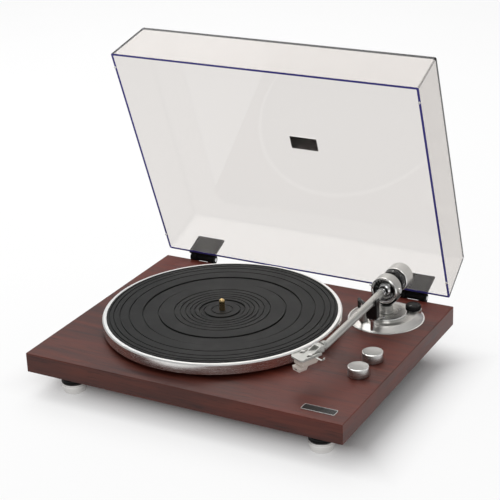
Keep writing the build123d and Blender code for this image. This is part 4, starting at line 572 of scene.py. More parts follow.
# Repeats made by geometry nodes
def node_group(name, sizes):
    """A geometry tree that takes a mesh and the named sizes, with those inputs by name."""
    tree = bpy.data.node_groups.new(name, "GeometryNodeTree")
    for way in ("OUTPUT", "INPUT"):
        tree.interface.new_socket("Geometry", in_out=way, socket_type="NodeSocketGeometry")
    for size in sizes:
        tree.interface.new_socket(size, in_out="INPUT", socket_type="NodeSocketFloat")
    graph = Graph(tree)
    return graph, graph.outlets("NodeGroupInput")


def grown(name, graph, copies, finish, sizes, part, place):
    """Runs a tree on a small part's mesh and returns the plain piece that it makes."""
    real = graph.node("GeometryNodeRealizeInstances", None, (copies,))
    painted = graph.node("GeometryNodeSetMaterial", None, {"Geometry": real, "Material": finish})
    graph.end("NodeGroupOutput", painted)
    thing = stood(name, part)
    modifier = thing.modifiers.new("grown", "NODES")
    modifier.node_group = graph.tree
    sockets = graph.tree.interface.items_tree
    inputs = {socket.name: socket.identifier for socket in sockets if socket.in_out == "INPUT"}
    for size, value in sizes.items():
        modifier[inputs[size]] = float(value)
    plain(thing).data.transform(place)
    return thing


def ring_of(name, part, count, radius, place, finish):
    """Copies of a small part set evenly on a circle, each facing outwards."""
    graph, sizes = node_group(f"{name}_ring", ("Count", "Radius"))
    ring = graph.node("GeometryNodeMeshCircle", None, {"Vertices": sizes["Count"], "Radius": sizes["Radius"]})
    index = graph.node("GeometryNodeInputIndex")
    turn = graph.node("ShaderNodeCombineXYZ", None, (0.0, 0.0, index * tau / sizes["Count"]))
    values = {"Points": ring, "Instance": sizes["Geometry"], "Rotation": turn}
    copies = graph.node("GeometryNodeInstanceOnPoints", None, values)
    return grown(name, graph, copies, finish, {"Count": count, "Radius": radius}, part, place)


def row_of(name, part, count, step, place, finish):
    """Copies of a small part in a straight row along the place's second axis."""
    graph, sizes = node_group(f"{name}_row", ("Count", "Step"))
    offset = graph.node("ShaderNodeCombineXYZ", None, (0.0, sizes["Step"], 0.0))
    row = graph.node("GeometryNodeMeshLine", None, {"Count": sizes["Count"], "Offset": offset})
    copies = graph.node("GeometryNodeInstanceOnPoints", None, {"Points": row, "Instance": sizes["Geometry"]})
    return grown(name, graph, copies, finish, {"Count": count, "Step": step}, part, place)


def rib(name, width, depth, length):
    """Mesh of a thin rounded rib along the third axis, proud along the first."""
    bulge, half = depth * 0.7, width / 3
    outline = [(0.0, -width / 2), (bulge, -half), (depth, 0.0), (bulge, half), (0.0, width / 2)]
    end = length / 2
    ends = ((-end, 0.6), (-end + depth, 1.0), (end - depth, 1.0), (end, 0.6))
    rings = [[(x * share, y * share, z) for x, y in outline] for z, share in ends]
    return mesh_of(Shape().skin(rings, Matrix()).made(name, []))


def slotted_head(name, radius, height):
    """Mesh of a low round screw head with a slot across it, its seat at nought."""
    outline = [
        (0.0, 0.0), (radius, 0.0), (radius, height * 0.5), (radius * 0.9, height * 0.85),
        (radius * 0.7, height), (0.0, height),
    ]
    head = Shape().turned(outline, Matrix(), 0, 32).made(name, [SCREW_STEEL])
    groove = Shape().plate(rectangle(radius * 3, radius * 0.3), height * 0.5, height * 2, Matrix())
    return mesh_of(cut(head, groove))


# Platter and mat
def platter():
    """Dish with a seat for the mat, and the ring under it that the belt runs on."""
    radius, high = extent("platter").x * 500, extent("platter").z * 500
    bore, seat_r, inside_r, chamfer, lip = 5.05, 143.3, 139.6, 1.4, 1.0
    low, seat = -high, high - 2.4
    web = seat - 3.6
    dish = [
        (radius - chamfer, high), (radius, high - chamfer), (radius, low + lip + chamfer),
        (radius - chamfer, low + lip), (inside_r, low + lip), (inside_r, web), (bore, web), (bore, seat),
        (seat_r, seat), (seat_r, high),
    ]
    finishes = [0, 1, 1, 1, 1, 1, 0, 0, 0, 0]
    Shape().turned(dish, at(PLATTER_MIDDLE), finishes, FINE_STEPS).piece(
        "platter_dish", [PLATTER_METAL, PLATTER_SIDE], "platter", "platter_metal", "platter"
    )
    ring_out, ring_in = 62.0, 58.0
    ring = [(ring_out, low), (ring_in, low), (ring_in, web), (ring_out, web)]
    Shape().turned(ring, at(PLATTER_MIDDLE)).piece("drive_ring", [PLATTER_SIDE], "platter", "platter_metal")


MAT_GROOVES = (13.0, 22.5, 28.0, 34.0, 39.5, 45.5, 52.0, 59.5, 79.0, 98.0, 115.0, 126.5, 134.0, 139.6)
MAT_BANDS = ((22.5, 28.0), (79.0, 98.0))
BAND_DROP = 0.9


def platter_mat():
    """Rubber mat with moulded grooves and two recessed bands, which have wider grooves as their edges."""
    radius, bore, flank = 143.0, 3.7, 0.12
    high = extent("platter_mat").z * 1000
    outline = [(bore, 0.0), (bore, high - 0.3), (bore + 0.3, high)]
    for r in MAT_GROOVES:
        half, deep = (0.9, 2.1) if any(r in band for band in MAT_BANDS) else (0.65, 1.5)
        before, after = (
            high - (BAND_DROP if any(inner < r + side < outer for inner, outer in MAT_BANDS) else 0.0)
            for side in (-1, 1)
        )
        outline += [
            (r - half, before), (r - half + flank, high - deep), (r + half - flank, high - deep),
            (r + half, after),
        ]
    outline += [(radius - 0.8, high), (radius - 0.2, high - 0.25), (radius, high - 0.8), (radius, 0.0)]
    Shape().turned(outline, upright("platter", underside("platter_mat")), 0, FINE_STEPS).piece(
        "mat_moulded", [MAT_RUBBER], "platter", "mat_rubber", "platter_mat"
    )


# Deck knobs and badges
def knob(name):
    """Turned cap with a slightly dished top and a bright edge, on its shank."""
    radius, height, hollow, steps = extent(name).x * 500, 11.5, 1.2, 12
    hollow_r = radius - 1.2
    cap = [
        (0.0, 0.0), (radius - 0.4, 0.0), (radius, 0.4), (radius, height - 1.0), (radius - 0.25, height - 0.3),
        (radius - 0.9, height),
    ]
    for k in range(steps + 1):
        cap.append((hollow_r - k * hollow_r / steps, height - hollow * (1 - (1 - k / steps) ** 2)))
    finishes = [1, 1, 1, 2, 2] + [0] * (steps + 1) + [1]
    place = upright(name, top(name) - height / 1000)
    shank_r, shank = 3.0, 5.5
    Shape().turned(cap, place, finishes, 96).plate(circle(shank_r), -shank, 0.0, place, 0.0, 1).piece(
        f"{name}_turned", [KNOB_METALS[name], KNOB_SIDE, RIM_BRIGHT], name, "knob_metal", name
    )


def framed_plate(name, node, place, width, depth, thick, body):
    """A bare black plate in a thin silver frame."""
    outer = rounded(rectangle(width, depth), 2.0)
    silver = [(0.0, 0.0), (0.0, thick * 0.8), (0.2, thick), (0.75, thick)]
    face = [(0.9, thick * 0.7)]
    rings = [lifted(inset(outer, shrink), level) for shrink, level in silver + face]
    shape = Shape().skin(rings, place, lambda ring, point: int(ring >= len(silver)))
    shape.piece(name, [BADGE_EDGE, GLOSS_BLACK], body, "badge_black", node)


def deck_badge():
    place = upright("deck_badge", underside("deck_badge"))
    framed_plate("badge_plate", "deck_badge", place, 41.5, 12.5, 0.8, "base")


def cover_badge():
    """Bare plate on the cover's panel."""
    thick = 0.8
    outward = COVER_PLACE.to_3x3() @ Vector((0, 0, 1))
    place = at(middle("cover_badge") - outward * thick / 2, (-COVER_OPEN, "X"))
    framed_plate("cover_badge_plate", "cover_badge", place, 38.0, 19.5, thick, "cover")


def feet():
    """Spun cups and ribbed rubber isolators under the four corners."""
    radius, bore, seat, high, rib_pitch = 15.5, 3.1, 13.5, 33.3, 3.1
    cup = [
        (5.1, 2.4), (11.1, 2.4), (11.1, 0.8), (12.7, 0.8), (13.4, 1.2), (13.7, 1.9), (15.3, 7.9),
        (radius, 8.6), (radius, 11.2), (15.2, 11.4), (15.2, 11.9), (radius, 12.1), (radius, 12.9),
        (15.0, seat), (bore, seat), (bore, 6.5), (5.1, 6.5),
    ]
    isolator = [(bore, seat), (15.0, seat)]
    for k in range(6):
        rise = k * rib_pitch
        isolator += [(radius, 14.2 + rise), (radius, 15.9 + rise), (14.9, 16.5 + rise)]
    isolator += [(radius, high), (bore, high)]
    centre = middle("foot_cups")
    reach_x, reach_y = (extent("foot_cups")[axis] * 500 - radius for axis in (0, 1))
    cups, isolators = Shape(), Shape()
    for x in (-reach_x, reach_x):
        for y in (-reach_y, reach_y):
            place = at(Vector((centre.x + x / 1000, centre.y + y / 1000, 0)))
            cups.turned(cup, place, 0, 96)
            isolators.turned(isolator, place, 0, 96)
    cups.piece("foot_cups_spun", [FOOT_METAL], "base", "foot_metal", "foot_cups")
    isolators.piece("foot_isolators_moulded", [FOOT_RUBBER], "base", "foot_rubber", "foot_isolators")


# Dust cover
def dust_cover():
    """Acrylic cover with drafted walls, soft corners and tinted cut edges."""
    width, depth, height, wall, ease = 410.3, 322.5, 69.9, 3.0, 1.0
    back, rim = -8.9, -1.5
    side_draft, front_draft, back_draft = 5.6, 6.5, 5.0

    def section(level, shrink, corner):
        share = level / height
        rear = back - back_draft * share - shrink
        front = back - depth + front_draft * share + shrink
        across = width - 2 * side_draft * share - 2 * shrink
        return lifted(rounded(rectangle(across, rear - front, 0.0, (rear + front) / 2), corner), rim + level)

    inside = [(height - wall, wall + 0.6, 1.2), (height - wall - 0.6, wall, 1.2), (0.3, wall, 1.2)]
    cut_edge = [(0.0, wall - 0.3, 1.4), (0.0, 0.3, 2.6), (0.3, 0.0, 2.8)]
    outside = [(height - ease, 0.0, 2.8), (height - ease * 0.3, ease * 0.3, 2.8), (height, ease, 2.6)]
    tinted = range(len(inside) - 1, len(inside) - 1 + len(cut_edge))
    shape = Shape().skin(
        [section(*ring) for ring in inside + cut_edge + outside], COVER_PLACE,
        lambda ring, point: int(ring in tinted),
    )
    cover = shape.made("clear_cover", [ACRYLIC, ACRYLIC_EDGE], COVER_CREASE)
    settled(cover, "cover", "acrylic", "dust_cover")


# Arm base, plate and pillar, all turned about the swing axis
def arm_base():
    """Stepped round base with a bright rim and a seat for the anti-skate dial."""
    radius, bore, high, seat_r = 47.5, 6.5, 6.5, 10.4
    outline = [
        (bore, 0.0), (radius, 0.0), (radius, 0.6), (radius - 0.3, 0.9), (radius - 1.6, 0.95),
        (radius - 2.1, 1.45), (36.8, high - 0.6), (36.2, high - 0.1), (35.4, high), (bore, high),
    ]
    place = upright("arm_pillar", DECK)
    shape = Shape().turned(outline, place, [0, 1, 1, 1, 0, 0, 0, 0, 0, 0], FINE_STEPS)
    dial = middle("antiskate_dial")
    seat = circle(seat_r, (dial.x - PIVOT.x) * 1000, (dial.y - PIVOT.y) * 1000)
    shape.plate(rounded(seat, 0.1, 1), 0.5, high, place, 0.3)
    shape.piece("arm_base_turned", [BASE_METAL, RIM_BRIGHT], "base", "base_metal", "arm_base")


def arm_plate():
    """Round plate with a raised bright rim."""
    radius, bore, high = 26.0, 6.5, 3.0
    outline = [
        (bore, 0.0), (radius, 0.0), (radius, 2.2), (radius - 0.6, 2.9), (radius - 1.2, high), (22.9, high),
        (22.6, 2.6), (bore, 2.6),
    ]
    place = upright("arm_pillar", underside("arm_plate"))
    Shape().turned(outline, place, [0, 1, 1, 1, 0, 0, 0, 0], FINE_STEPS).piece(
        "arm_plate_turned", [BASE_METAL, RIM_BRIGHT], "base", "base_metal", "arm_plate"
    )


def arm_pillar():
    """Pillar with a collar and a grooved cap, measured down from its top."""
    bore, radius, collar, cap, foot = 3.7, 6.4, 9.5, 8.0, -36.3
    outline = [
        (bore, foot), (radius, foot), (radius, -9.2), (collar, -9.0), (collar, -7.9), (collar - 0.3, -7.5),
        (cap, -7.5), (cap, -5.2), (cap - 0.4, -4.9), (cap - 0.4, -4.3), (cap, -4.0), (cap, -0.5),
        (cap - 0.4, 0.0), (bore, 0.0),
    ]
    Shape().turned(outline, upright("arm_pillar", top("arm_pillar"))).piece(
        "arm_pillar_turned", [ARM_SILVER], "base", "arm_silver", "arm_pillar"
    )


def plate_screws():
    """Three small screws that hold the arm's plate, sunk a little into it."""
    sunk = 0.4
    place = upright("arm_pillar", top("arm_plate") - sunk / 1000) @ Matrix.Rotation(radians(-75), 4, "Z")
    head = slotted_head("plate_screw", 1.9, 1.0)
    settled(ring_of("plate_screws", head, 3, 18.0, place, STEEL), "base", "steel")


# Gimbal, hub and tube, all turned about the tube's axis
def gimbal_ring():
    """Bright-edged ring with a chrome inside."""
    radius, inside_r = 17.0, 14.4
    outline = [
        (15.2, -8.5), (16.2, -8.5), (16.8, -8.1), (radius, -7.4), (radius, 7.7), (radius - 0.8, 8.5),
        (inside_r, 8.5), (inside_r, -7.7),
    ]
    Shape().turned(outline, ALONG_ARM, [2, 2, 2, 0, 0, 0, 1, 1], FINE_STEPS).piece(
        "gimbal_turned", [ARM_SILVER, CHROME, RIM_BRIGHT], "arm_carriage", "arm_silver", "gimbal_ring"
    )


def gimbal_cup():
    """Bearing cup inside the ring, with a black plate on each side as the painted shade of a slit."""
    radius = 14.3
    outline = [
        (radius, -7.2), (radius, 7.4), (10.9, 7.4), (10.9, 6.9), (13.2, 6.2), (13.6, 5.0), (13.6, -7.2),
    ]
    shape = Shape().turned(outline, ALONG_ARM)
    # Black plates, not openings: painted shade where a slit on each side would be dark
    for side in (-1, 1):
        slit = rounded(rectangle(1.5, 13.0, side * 12.4), 0.6)
        shape.plate(slit, -6.8, 6.0, ALONG_ARM, 0.2, 1)
    shape.piece("gimbal_cup", [CHROME, GLOSS_BLACK], "arm_carriage", "arm_silver")


def pivot_screws():
    """Slotted bearing screws on both sides of the ring, with their pins."""
    pin_r, head_r, end = 1.35, 3.6, 19.4
    pin = [(0.0, 7.8), (pin_r, 7.8), (pin_r, 17.2), (0.0, 17.2)]
    head = [(0.0, 16.7), (head_r, 16.7), (head_r, 18.9), (head_r - 0.5, end), (0.0, end)]
    for side, name in ((-1, "left"), (1, "right")):
        place = at(PIVOT, (side * 90, "Y"))
        screw = Shape().turned(pin, place, 0, 24).turned(head, place, 0, 48)
        groove_place = place @ Matrix.Rotation(radians(35), 4, "Z")
        groove = Shape().plate(rectangle(0.9, 9.0), 18.7, 21.0, groove_place)
        stands_for = ("pivot_screws",) if side == 1 else ()
        thing = cut(screw.made(f"pivot_screw_{name}", [SCREW_STEEL]), groove)
        settled(thing, "arm_carriage", "arm_silver", *stands_for)


def arm_hub():
    """Ball-shaped hub with a grooved neck for the tube and a threaded tail for the weight."""
    ball_r, neck_r, thread_r, root_r, end = 10.4, 5.6, 3.5, 3.2, 43.5
    ball_turns = [radians(-53.1 + 106.2 * k / 24) for k in range(25)]
    outline = [
        (0.0, -17.0), (neck_r - 0.5, -17.0), (neck_r, -16.5), (neck_r, -14.8), (5.25, -14.5), (5.25, -13.9),
        (neck_r, -13.6), (5.62, -11.5), (5.85, -9.6),
    ]
    outline += [(ball_r * cos(turn), ball_r * sin(turn)) for turn in ball_turns]
    outline += [(thread_r, 8.32)]
    for k in range(34):
        outline += [(thread_r, 9.0 + k), (root_r, 9.25 + k), (root_r, 9.5 + k), (thread_r, 9.75 + k)]
    outline += [(thread_r, end - 0.4), (thread_r - 0.4, end), (0.0, end)]
    Shape().turned(outline, ALONG_ARM, 0, 96).piece("arm_hub_turned", [CHROME], "arm", "chrome", "arm_hub")


def arm_tube():
    """Tube that tapers towards the head."""
    front, back, wall = -166.5, -17.0, 1.1
    front_r, back_r = 4.2, 5.0
    outline = [(front_r, front), (back_r, back), (back_r - wall, back), (front_r - wall, front)]
    Shape().turned(outline, ALONG_ARM, 0, 64).piece(
        "arm_tube_drawn", [TUBE_SILVER], "arm", "tube_silver", "arm_tube"
    )


# Counterweight and force dial
def counterweight():
    """Turned weight with a fine groove near its front and a recess in its back."""
    radius, bore, recess_r, front, back = 16.0, 6.6, 12.5, 26.9, 47.5
    outline = [
        (bore, front), (radius - 0.7, front), (radius - 0.2, 27.2), (radius, 27.8), (radius, 29.6),
        (radius - 0.25, 29.8), (radius - 0.25, 30.2), (radius, 30.4), (radius, 46.6), (15.7, 47.2),
        (15.1, back), (recess_r + 0.5, back), (recess_r, 47.0), (recess_r, 37.6), (bore, 37.6),
    ]
    finishes = [1, 1, 1, 0, 0, 0, 0, 0, 1, 1, 1, 1, 0, 0, 0]
    Shape().turned(outline, ALONG_ARM, finishes, FINE_STEPS).piece(
        "counterweight_turned", [WEIGHT_SILVER, RIM_BRIGHT], "counterweight", "weight_silver", "counterweight"
    )


def force_dial():
    """Black dial with a leaning face in front of its rim."""
    bore, face_r, rim_r, front, back = 6.6, 15.2, 14.9, 17.5, 26.5
    outline = [
        (bore, front), (14.1, front), (14.5, front + 0.4), (face_r, 23.0), (rim_r, 23.3), (rim_r, 26.3),
        (14.7, back), (bore, back),
    ]
    Shape().turned(outline, ALONG_ARM, 0, FINE_STEPS).piece(
        "force_dial_turned", [GLOSS_BLACK], "force_dial", "dial_black", "force_dial"
    )


def dial_grips():
    place = ALONG_ARM @ Matrix.Translation((0, 0, 24.9))
    grips = ring_of("dial_grips", rib("dial_grip", 0.9, 0.45, 2.8), 60, 14.85, place, BLACK)
    settled(grips, "force_dial", "dial_black")


DIAL_LEAN = radians(7.8)
DIAL_FACE = Matrix((
    (0, sin(DIAL_LEAN), cos(DIAL_LEAN), 0),
    (1, 0, 0, 0),
    (0, cos(DIAL_LEAN), -sin(DIAL_LEAN), 0),
    (0, 0, 0, 1),
))


def dial_numbers():
    """The numerals 0 to 3, twice round the dial's leaning face."""
    count = 8
    for k in range(count):
        turn = Matrix.Rotation(radians(-90 + 360 / count * k), 4, "Z") @ Matrix.Translation((14.88, 0, 20.5))
        mark = lettering(f"dial_number_{k}", str(k % 4), 3.6, ALONG_ARM @ turn @ DIAL_FACE)
        settled(mark, "force_dial", "dial_black")


def dial_ticks():
    tick = mesh_of(Shape().plate(rectangle(0.3, 0.8), -0.02, 0.08, Matrix()).made("tick", [MARKING]))
    tick.transform(DIAL_FACE)
    place = ALONG_ARM @ Matrix.Translation((0, 0, 22.5))
    settled(ring_of("dial_ticks", tick, 40, 15.1, place, MARKING), "force_dial", "dial_black")


def lettering(name, text, size, place):
    """Thin printed characters, centred on the place."""
    font = bpy.data.curves.new(name, "FONT")
    font.body = text
    font.size = size
    font.extrude = 0.04
    font.align_x = "CENTER"
    font.align_y = "CENTER"
    source = stood(name, font)
    data = bpy.data.meshes.new_from_object(source.evaluated_get(bpy.context.evaluated_depsgraph_get()))
    bpy.data.objects.remove(source)
    data.transform(place)
    data.materials.clear()
    data.materials.append(MARKING)
    smooth(data)
    return stood(name, data)


# Head and cartridge, whose first axis runs towards the nose and the second to the finger lift
SLOT_ROWS = (-6.35, 6.35)
SHELL_TOP = -2.0


def head_collar():
    """Grooved locking collar on the tube's bent end."""
    radius, groove_r, back, front = 5.6, 5.3, 3.0, 9.0
    outline = [
        (0.0, back), (4.7, back), (groove_r, 3.6), (radius, 4.2), (radius, 5.0), (groove_r, 5.2),
        (groove_r, 5.7), (radius, 5.9), (radius, 6.7), (groove_r, 6.9), (groove_r, 7.4), (radius, 7.6),
        (radius, front), (0.0, front),
    ]
    shape = Shape().turned(outline, at(HEAD_START, (-HEAD_OFFSET, "Z"), (90, "X")), 0, 64)
    bend = [(0.0, -166.4), (0.05, -167.8), (-0.3, -169.0), (-0.92, -170.24), (-1.5, -171.6)]
    shape.rod([(x, y, 0.0) for x, y in bend], [4.2, 4.25, 4.35, 4.5, 4.6], at(PIVOT), 0, 48)
    shape.piece("head_collar_turned", [SHELL_SILVER], "arm", "shell_silver", "head_collar")


def headshell():
    """Flat shell with a straight nose, two slots for the cartridge's screws and two small windows."""
    side = [(9.0, 6.0), (16.0, 6.0), (17.2, 11.0), (44.6, 11.0), (47.5, 7.6)]
    corners = [(x, -y) for x, y in side] + side[::-1]
    shape = Shape().plate(rounded(corners, 1.6), -4.4, SHELL_TOP, ALONG_HEAD, 0.45)
    openings = [slot_outline(14.0, 2.8, 29.0, y) for y in SLOT_ROWS]
    openings += [rounded([(17.9, s * 2.4), (21.0, s * 4.2), (17.9, s * 9.0)][::s], 0.4) for s in (-1, 1)]
    cutters = [Shape().plate(opening, -6.0, 0.0, ALONG_HEAD) for opening in openings]
    shell = cut(shape.made("headshell_cast", [SHELL_SILVER]), *cutters)
    settled(shell, "arm", "shell_silver", "headshell")


def headshell_neck():
    """Block between the collar and the shell, with a cheek and a low rail on each side."""
    cheek = rounded([(15.2, -2.3), (26.0, -2.3), (16.6, 2.9), (15.2, 2.9)], 0.5)
    rail = rounded([(19.0, -2.2), (43.5, -2.2), (42.0, -1.2), (20.5, -1.2)], 0.4)
    neck = Shape().plate(rounded(rectangle(7.0, 12.0, 12.5), 1.6), -4.3, 3.3, ALONG_HEAD, 0.7)
    on_edge = ALONG_HEAD @ Matrix.Rotation(radians(90), 4, "X")
    for outline, reach, half, edge in ((cheek, 5.0, 0.7, 0.2), (rail, 10.5, 0.45, 0.15)):
        for y in (-reach, reach):
            neck.plate(outline, y - half, y + half, on_edge, edge)
    neck.piece("headshell_neck", [SHELL_SILVER], "arm", "shell_silver")


def finger_lift():
    """Narrow flat lift that curls up beside the shell."""
    along, flatness = 27, 0.42
    curve = [(10.0, -3.7), (14.0, -3.7), (18.5, -3.65), (22.0, -3.4), (24.0, -2.6), (25.1, -1.2), (25.4, 0.9)]
    path = [(along, y, z) for y, z in curve]
    radii = [1.5, 1.5, 1.45, 1.45, 1.5, 1.5, 1.2]
    lift = Shape().rod(path, radii, ALONG_HEAD, 0, 16, flatness)
    lift.piece("finger_lift", [SHELL_SILVER], "arm", "shell_silver")


def cartridge():
    """Moulded body in two steps, with four gold pins at its back."""
    body = Shape()
    for length, width, low, high in ((23.0, 16.5, -11.6, -4.4), (21.0, 14.8, -13.4, -11.4)):
        body.plate(rounded(rectangle(length, width, 32.0), 1.3), low, high, ALONG_HEAD, 0.5)
    for y in (-2.4, 2.4):
        for z in (-10.2, -7.4):
            pin = [(x, y, z) for x in (18.5, 18.8, 20.8)]
            body.rod(pin, [0.35, 0.5, 0.5], ALONG_HEAD, 1, 10)
    body.piece("cartridge_body", [CARTRIDGE_GREY, GOLD], "arm", "cartridge_grey", "cartridge")


def stylus():
    """Stylus holder with a dark plate in its nose as the painted shade of a slot, the cantilever and the tip.
    """
    levels = ((-13.45, 13.0, 41.0), (-14.6, 13.0, 41.0), (-18.2, 11.4, 41.4), (-18.8, 10.6, 41.4))
    rings = [lifted(rounded(rectangle(size, size, x), 0.9), z) for z, size, x in levels]
    holder = Shape().skin(rings, ALONG_HEAD)
    # A thin dark plate in the nose: painted shade where a slot would be
    holder.plate(rounded(rectangle(0.5, 4.4, 47.15), 0.2), -16.6, -14.6, ALONG_HEAD, 0.0, 1)
    holder.rod([(37.2, 0, -18.6), (39.4, 0, -19.5), (41.2, 0, -20.1)], [0.42, 0.38, 0.3], ALONG_HEAD, 1, 10)
    holder.rod([(41.0, 0, -19.9), (41.0, 0, -20.3), (41.0, 0, -20.6)], [0.3, 0.2, 0.06], ALONG_HEAD, 1, 8)
    holder.piece("stylus_block", [STYLUS_GREY, PAINTED_SLOT_SHADE], "arm", "cartridge_grey", "stylus_assembly")


def cartridge_screws():
    low, high = SLOT_ROWS
    head = slotted_head("cartridge_screw", 2.3, 1.5)
    place = ALONG_HEAD @ Matrix.Translation((31, low, SHELL_TOP))
    row = row_of("cartridge_screw_heads", head, 2, high - low, place, SCREW_STEEL)
    settled(row, "arm", "screw_steel")


# Arm rest and cueing device
def arm_rest():
    """Chrome post and the black clip that holds the tube, measured from the tube's axis."""
    foot = Vector((PIVOT.x, PIVOT.y - 0.042, PIVOT.z))
    post_low, post_high, collar_r = -38.9, -22.0, 4.2
    post = [
        (0.0, post_low), (2.6, post_low), (2.6, -25.2), (3.9, -24.9), (collar_r, -24.5), (collar_r, -22.5),
        (3.8, post_high), (0.0, post_high),
    ]
    Shape().turned(post, at(foot), 0, 64).piece(
        "rest_post_turned", [CHROME], "base", "chrome", "arm_rest_post"
    )
    outline = [
        (-5.2, post_high), (7.2, post_high), (7.9, -20.5), (7.9, 2.4), (7.3, 3.7), (5.8, 3.7), (5.35, 2.6),
        (5.35, -0.8), (4.3, -3.7), (2.2, -5.2), (-0.6, -5.35), (-6.0, -5.35), (-6.5, -6.2), (-6.5, -18.5),
    ]
    half = 4.5
    clip = Shape().plate(rounded(outline, 0.9), -half, half, at(foot, (90, "X")), 0.5)
    clip.piece("rest_clip_moulded", [GLOSS_BLACK], "base", "black_gloss", "arm_rest_clip")


CUE_REACH = 34.5
CUE_TURN = radians(31)


def cue_post():
    """A frame on the cueing post's upright line, at the floor."""
    beside = Vector((-CUE_REACH * sin(CUE_TURN), -CUE_REACH * cos(CUE_TURN), 0))
    return upright("arm_pillar", 0.0) @ Matrix.Translation(beside)


def cue_housing():
    """Grooved sleeve that the lift's post slides in."""
    bore, radius, low, high = 2.1, 5.5, 64.3, 78.0
    outline = [
        (bore, low), (radius, low), (radius, 75.0), (5.2, 75.2), (5.2, 75.7), (radius, 75.9), (radius, 77.2),
        (5.2, 77.8), (4.6, high), (bore, high),
    ]
    Shape().turned(outline, cue_post(), 0, 64).piece(
        "cue_housing_turned", [ARM_SILVER], "base", "arm_silver", "cue_housing"
    )


def cue_lift():
    """Curved bar under the tube, deeper at its outer end, on a steel post."""
    thick, high = 3.6, 89.3
    sections = [(12.5 + 4.0 * k, 3.0) for k in range(9)]
    sections += [(46.2, 4.6), (47.4, 10.0), (48.6, 13.0), (52.0, 13.0)]
    rings = []
    for angle, height in sections:
        turn = radians(angle)
        section = rounded(rectangle(thick, height, CUE_REACH, high - height / 2), 0.7)
        rings.append([(-p[0] * sin(turn), -p[0] * cos(turn), p[1]) for p in section])
    lift = Shape().skin(rings, upright("arm_pillar", 0.0))
    lift.turned([(0.0, 66.0), (2.0, 66.0), (2.0, 87.0), (0.0, 87.0)], cue_post(), 1, 32)
    lift.piece("cue_lift_moulded", [GLOSS_BLACK, STEEL], "cue_lift", "black_gloss", "cue_lift")


def antiskate_dial():
    """Black dial with a plain pointer line and a ribbed side."""
    radius, height, shaft_r, shaft = 9.2, 5.6, 2.0, 5.0
    place = upright("antiskate_dial", top("antiskate_dial") - height / 1000)
    cap = [
        (0.0, 0.0), (radius, 0.0), (radius, 4.9), (8.9, 5.4), (8.3, height), (7.6, height), (7.2, 5.2),
        (0.0, 5.2),
    ]
    stem = [(0.0, -shaft), (shaft_r, -shaft), (shaft_r, 0.2), (0.0, 0.2)]
    shape = Shape().turned(cap, place, 0, 96).turned(stem, place, 0, 24)
    pointer = place @ Matrix.Rotation(radians(150), 4, "Z")
    shape.plate(rectangle(0.5, 4.6, 0.0, 4.2), 5.15, 5.28, pointer, 0.0, 1)
    dial = "antiskate_dial"
    shape.piece("antiskate_dial_moulded", [BLACK, MARKING], dial, "black_plastic", dial)
    grip = rib("antiskate_grip", 0.8, 0.4, 4.2)
    grips = ring_of("antiskate_grips", grip, 44, 9.15, place @ Matrix.Translation((0, 0, 2.6)), BLACK)
    settled(grips, dial, "black_plastic")


# Floor, light and camera, in metres
# Shares of the floor's painted white glow, which pales the cast shadow, beneath the plinth and away from it
FLOOR_GLOW_SHARE = (0.0, 0.74)
PLINTH_REACH_X = 0.236
PLINTH_MIDDLE_Y, PLINTH_REACH_Y = -0.031, 0.135
WORLD_STRENGTH = 0.62
LAMPS = (
    ("key", (-0.9, 0.7, 2.2), (0, 0, 0), 2.6, 41.0),
    ("fill", (1.2, -2.2, 1.9), (0, 0, 0.1), 1.6, 14.0),
)
CAMERA_PLACE = Vector((0.80719, -1.45522, 0.84873))
CAMERA_AZIMUTH = radians(29.165)
CAMERA_ELEVATION = radians(22.730)
CAMERA_ROLL = radians(-2.2646)
CAMERA_LENS = 106.3


def floor_finish():
    """Pale floor, seen partly as plain white away from the plinth, a painted glow that pales the plinth's
    cast shadow there, and as it is lit beneath it.
    """
    pale = Finish("pale_floor", (0.9, 0.9, 0.9), 0.9)
    speck = pale.noise(pale.place(), 4.0, 2.0)
    pale.set("Base Color", pale.mix(pale.spread(speck, 0.3, 0.7), solid((0.91,) * 3), solid((0.93,) * 3)))
    spot = pale.place()
    x, y = (pale.part(spot, axis) for axis in (0, 1))
    outside = pale.maths("MAXIMUM", abs(x) - PLINTH_REACH_X, abs(y - PLINTH_MIDDLE_Y) - PLINTH_REACH_Y)
    # Painted glow over the floor's shade: none beneath the plinth, rising away from it so that the cast
    # shadow fades
    share = pale.spread(outside, -0.025, 0.04, *FLOOR_GLOW_SHARE)
    path = pale.outlets("ShaderNodeLightPath")
    seen = pale.maths("MAXIMUM", path["Is Camera Ray"], path["Is Glossy Ray"])
    seen = pale.maths("MAXIMUM", seen, path["Is Transmission Ray"]) * share
    white = pale.node("ShaderNodeEmission", None, (solid((1.0,) * 3), 1.0))
    return pale.done(pale.node("ShaderNodeMixShader", None, (seen, pale.shader, white)))


def floor():
    side, thick = 12000, 20
    slab = Shape().plate(rectangle(side, side), -thick, 0, MILLI)
    slab.made("floor", [floor_finish()])


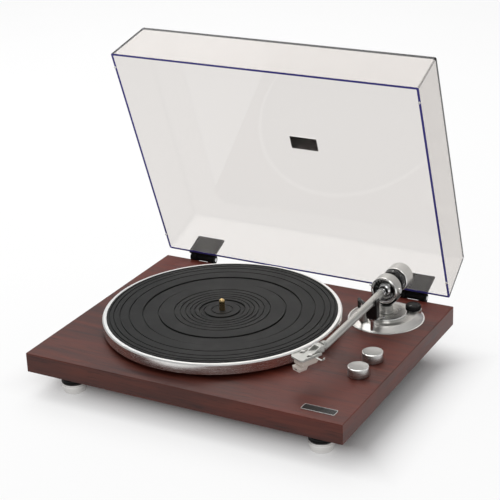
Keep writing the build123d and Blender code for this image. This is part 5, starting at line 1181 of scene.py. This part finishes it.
def studio_world():
    """Soft light from above, dimmer from the front, which the camera sees as plain white."""
    world = bpy.data.worlds.new("studio")
    bpy.context.scene.world = world
    world.use_nodes = True
    world.node_tree.nodes.clear()
    sky = Graph(world.node_tree)
    ray = sky.node("ShaderNodeTexCoord", output="Generated")
    from_above = sky.spread(sky.part(ray, 2), -0.2, 0.9, 0.5, 1.0)
    from_behind = sky.spread(sky.part(ray, 1), -0.9, 0.1, 0.45, 1.0)
    path = sky.outlets("ShaderNodeLightPath")
    direct = sky.maths("MAXIMUM", path["Is Camera Ray"], path["Is Transmission Ray"])
    strength = from_above * from_behind * WORLD_STRENGTH * (1 - direct) + direct
    sky.end("ShaderNodeOutputWorld", sky.node("ShaderNodeBackground", None, (solid((1.0,) * 3), strength)))


def lamp(name, place, aim, size, power):
    """A round soft lamp that faces a point."""
    data = bpy.data.lights.new(name, "AREA")
    data.shape = "DISK"
    data.size = size
    data.energy = power
    thing = stood(name, data)
    thing.location = place
    thing.rotation_mode = "QUATERNION"
    thing.rotation_quaternion = (Vector(aim) - Vector(place)).to_track_quat("-Z", "Y")


def camera():
    """The photograph's viewpoint."""
    level = cos(CAMERA_ELEVATION)
    back = Vector((sin(CAMERA_AZIMUTH) * level, -cos(CAMERA_AZIMUTH) * level, sin(CAMERA_ELEVATION)))
    side = Vector((cos(CAMERA_AZIMUTH), sin(CAMERA_AZIMUTH), 0))
    above = back.cross(side)
    right = cos(CAMERA_ROLL) * side + sin(CAMERA_ROLL) * above
    up = cos(CAMERA_ROLL) * above - sin(CAMERA_ROLL) * side
    data = bpy.data.cameras.new("camera")
    data.lens = CAMERA_LENS
    data.clip_start = 0.05
    data.clip_end = 50
    eye = stood("camera", data)
    eye.matrix_world = Matrix.Translation(CAMERA_PLACE) @ Matrix((right, up, back)).transposed().to_4x4()
    bpy.context.scene.camera = eye


dress_nodes()
platter()
platter_mat()
knob("power_knob")
knob("speed_knob")
deck_badge()
feet()
cover_badge()
eased("hinge_bases", 0.6, HINGE_BLACK, "base", "black_plastic")
eased("hinge_leaves", 0.4, HINGE_BLACK, "cover", "black_plastic")
eased("arm_yoke", 0.4, GLOSS_BLACK, "arm_carriage", "black_gloss")
eased("cue_lever", 0.4, BLACK, "cue_lever", "black_plastic")
arm_base()
arm_plate()
arm_pillar()
plate_screws()
gimbal_ring()
gimbal_cup()
pivot_screws()
arm_hub()
arm_tube()
counterweight()
force_dial()
dial_grips()
dial_numbers()
dial_ticks()
head_collar()
headshell()
headshell_neck()
finger_lift()
cartridge()
stylus()
cartridge_screws()
arm_rest()
cue_housing()
cue_lift()
antiskate_dial()
dust_cover()
floor()
studio_world()
for light in LAMPS:
    lamp(*light)
camera()
bpy.context.scene.view_settings.view_transform = "Standard"
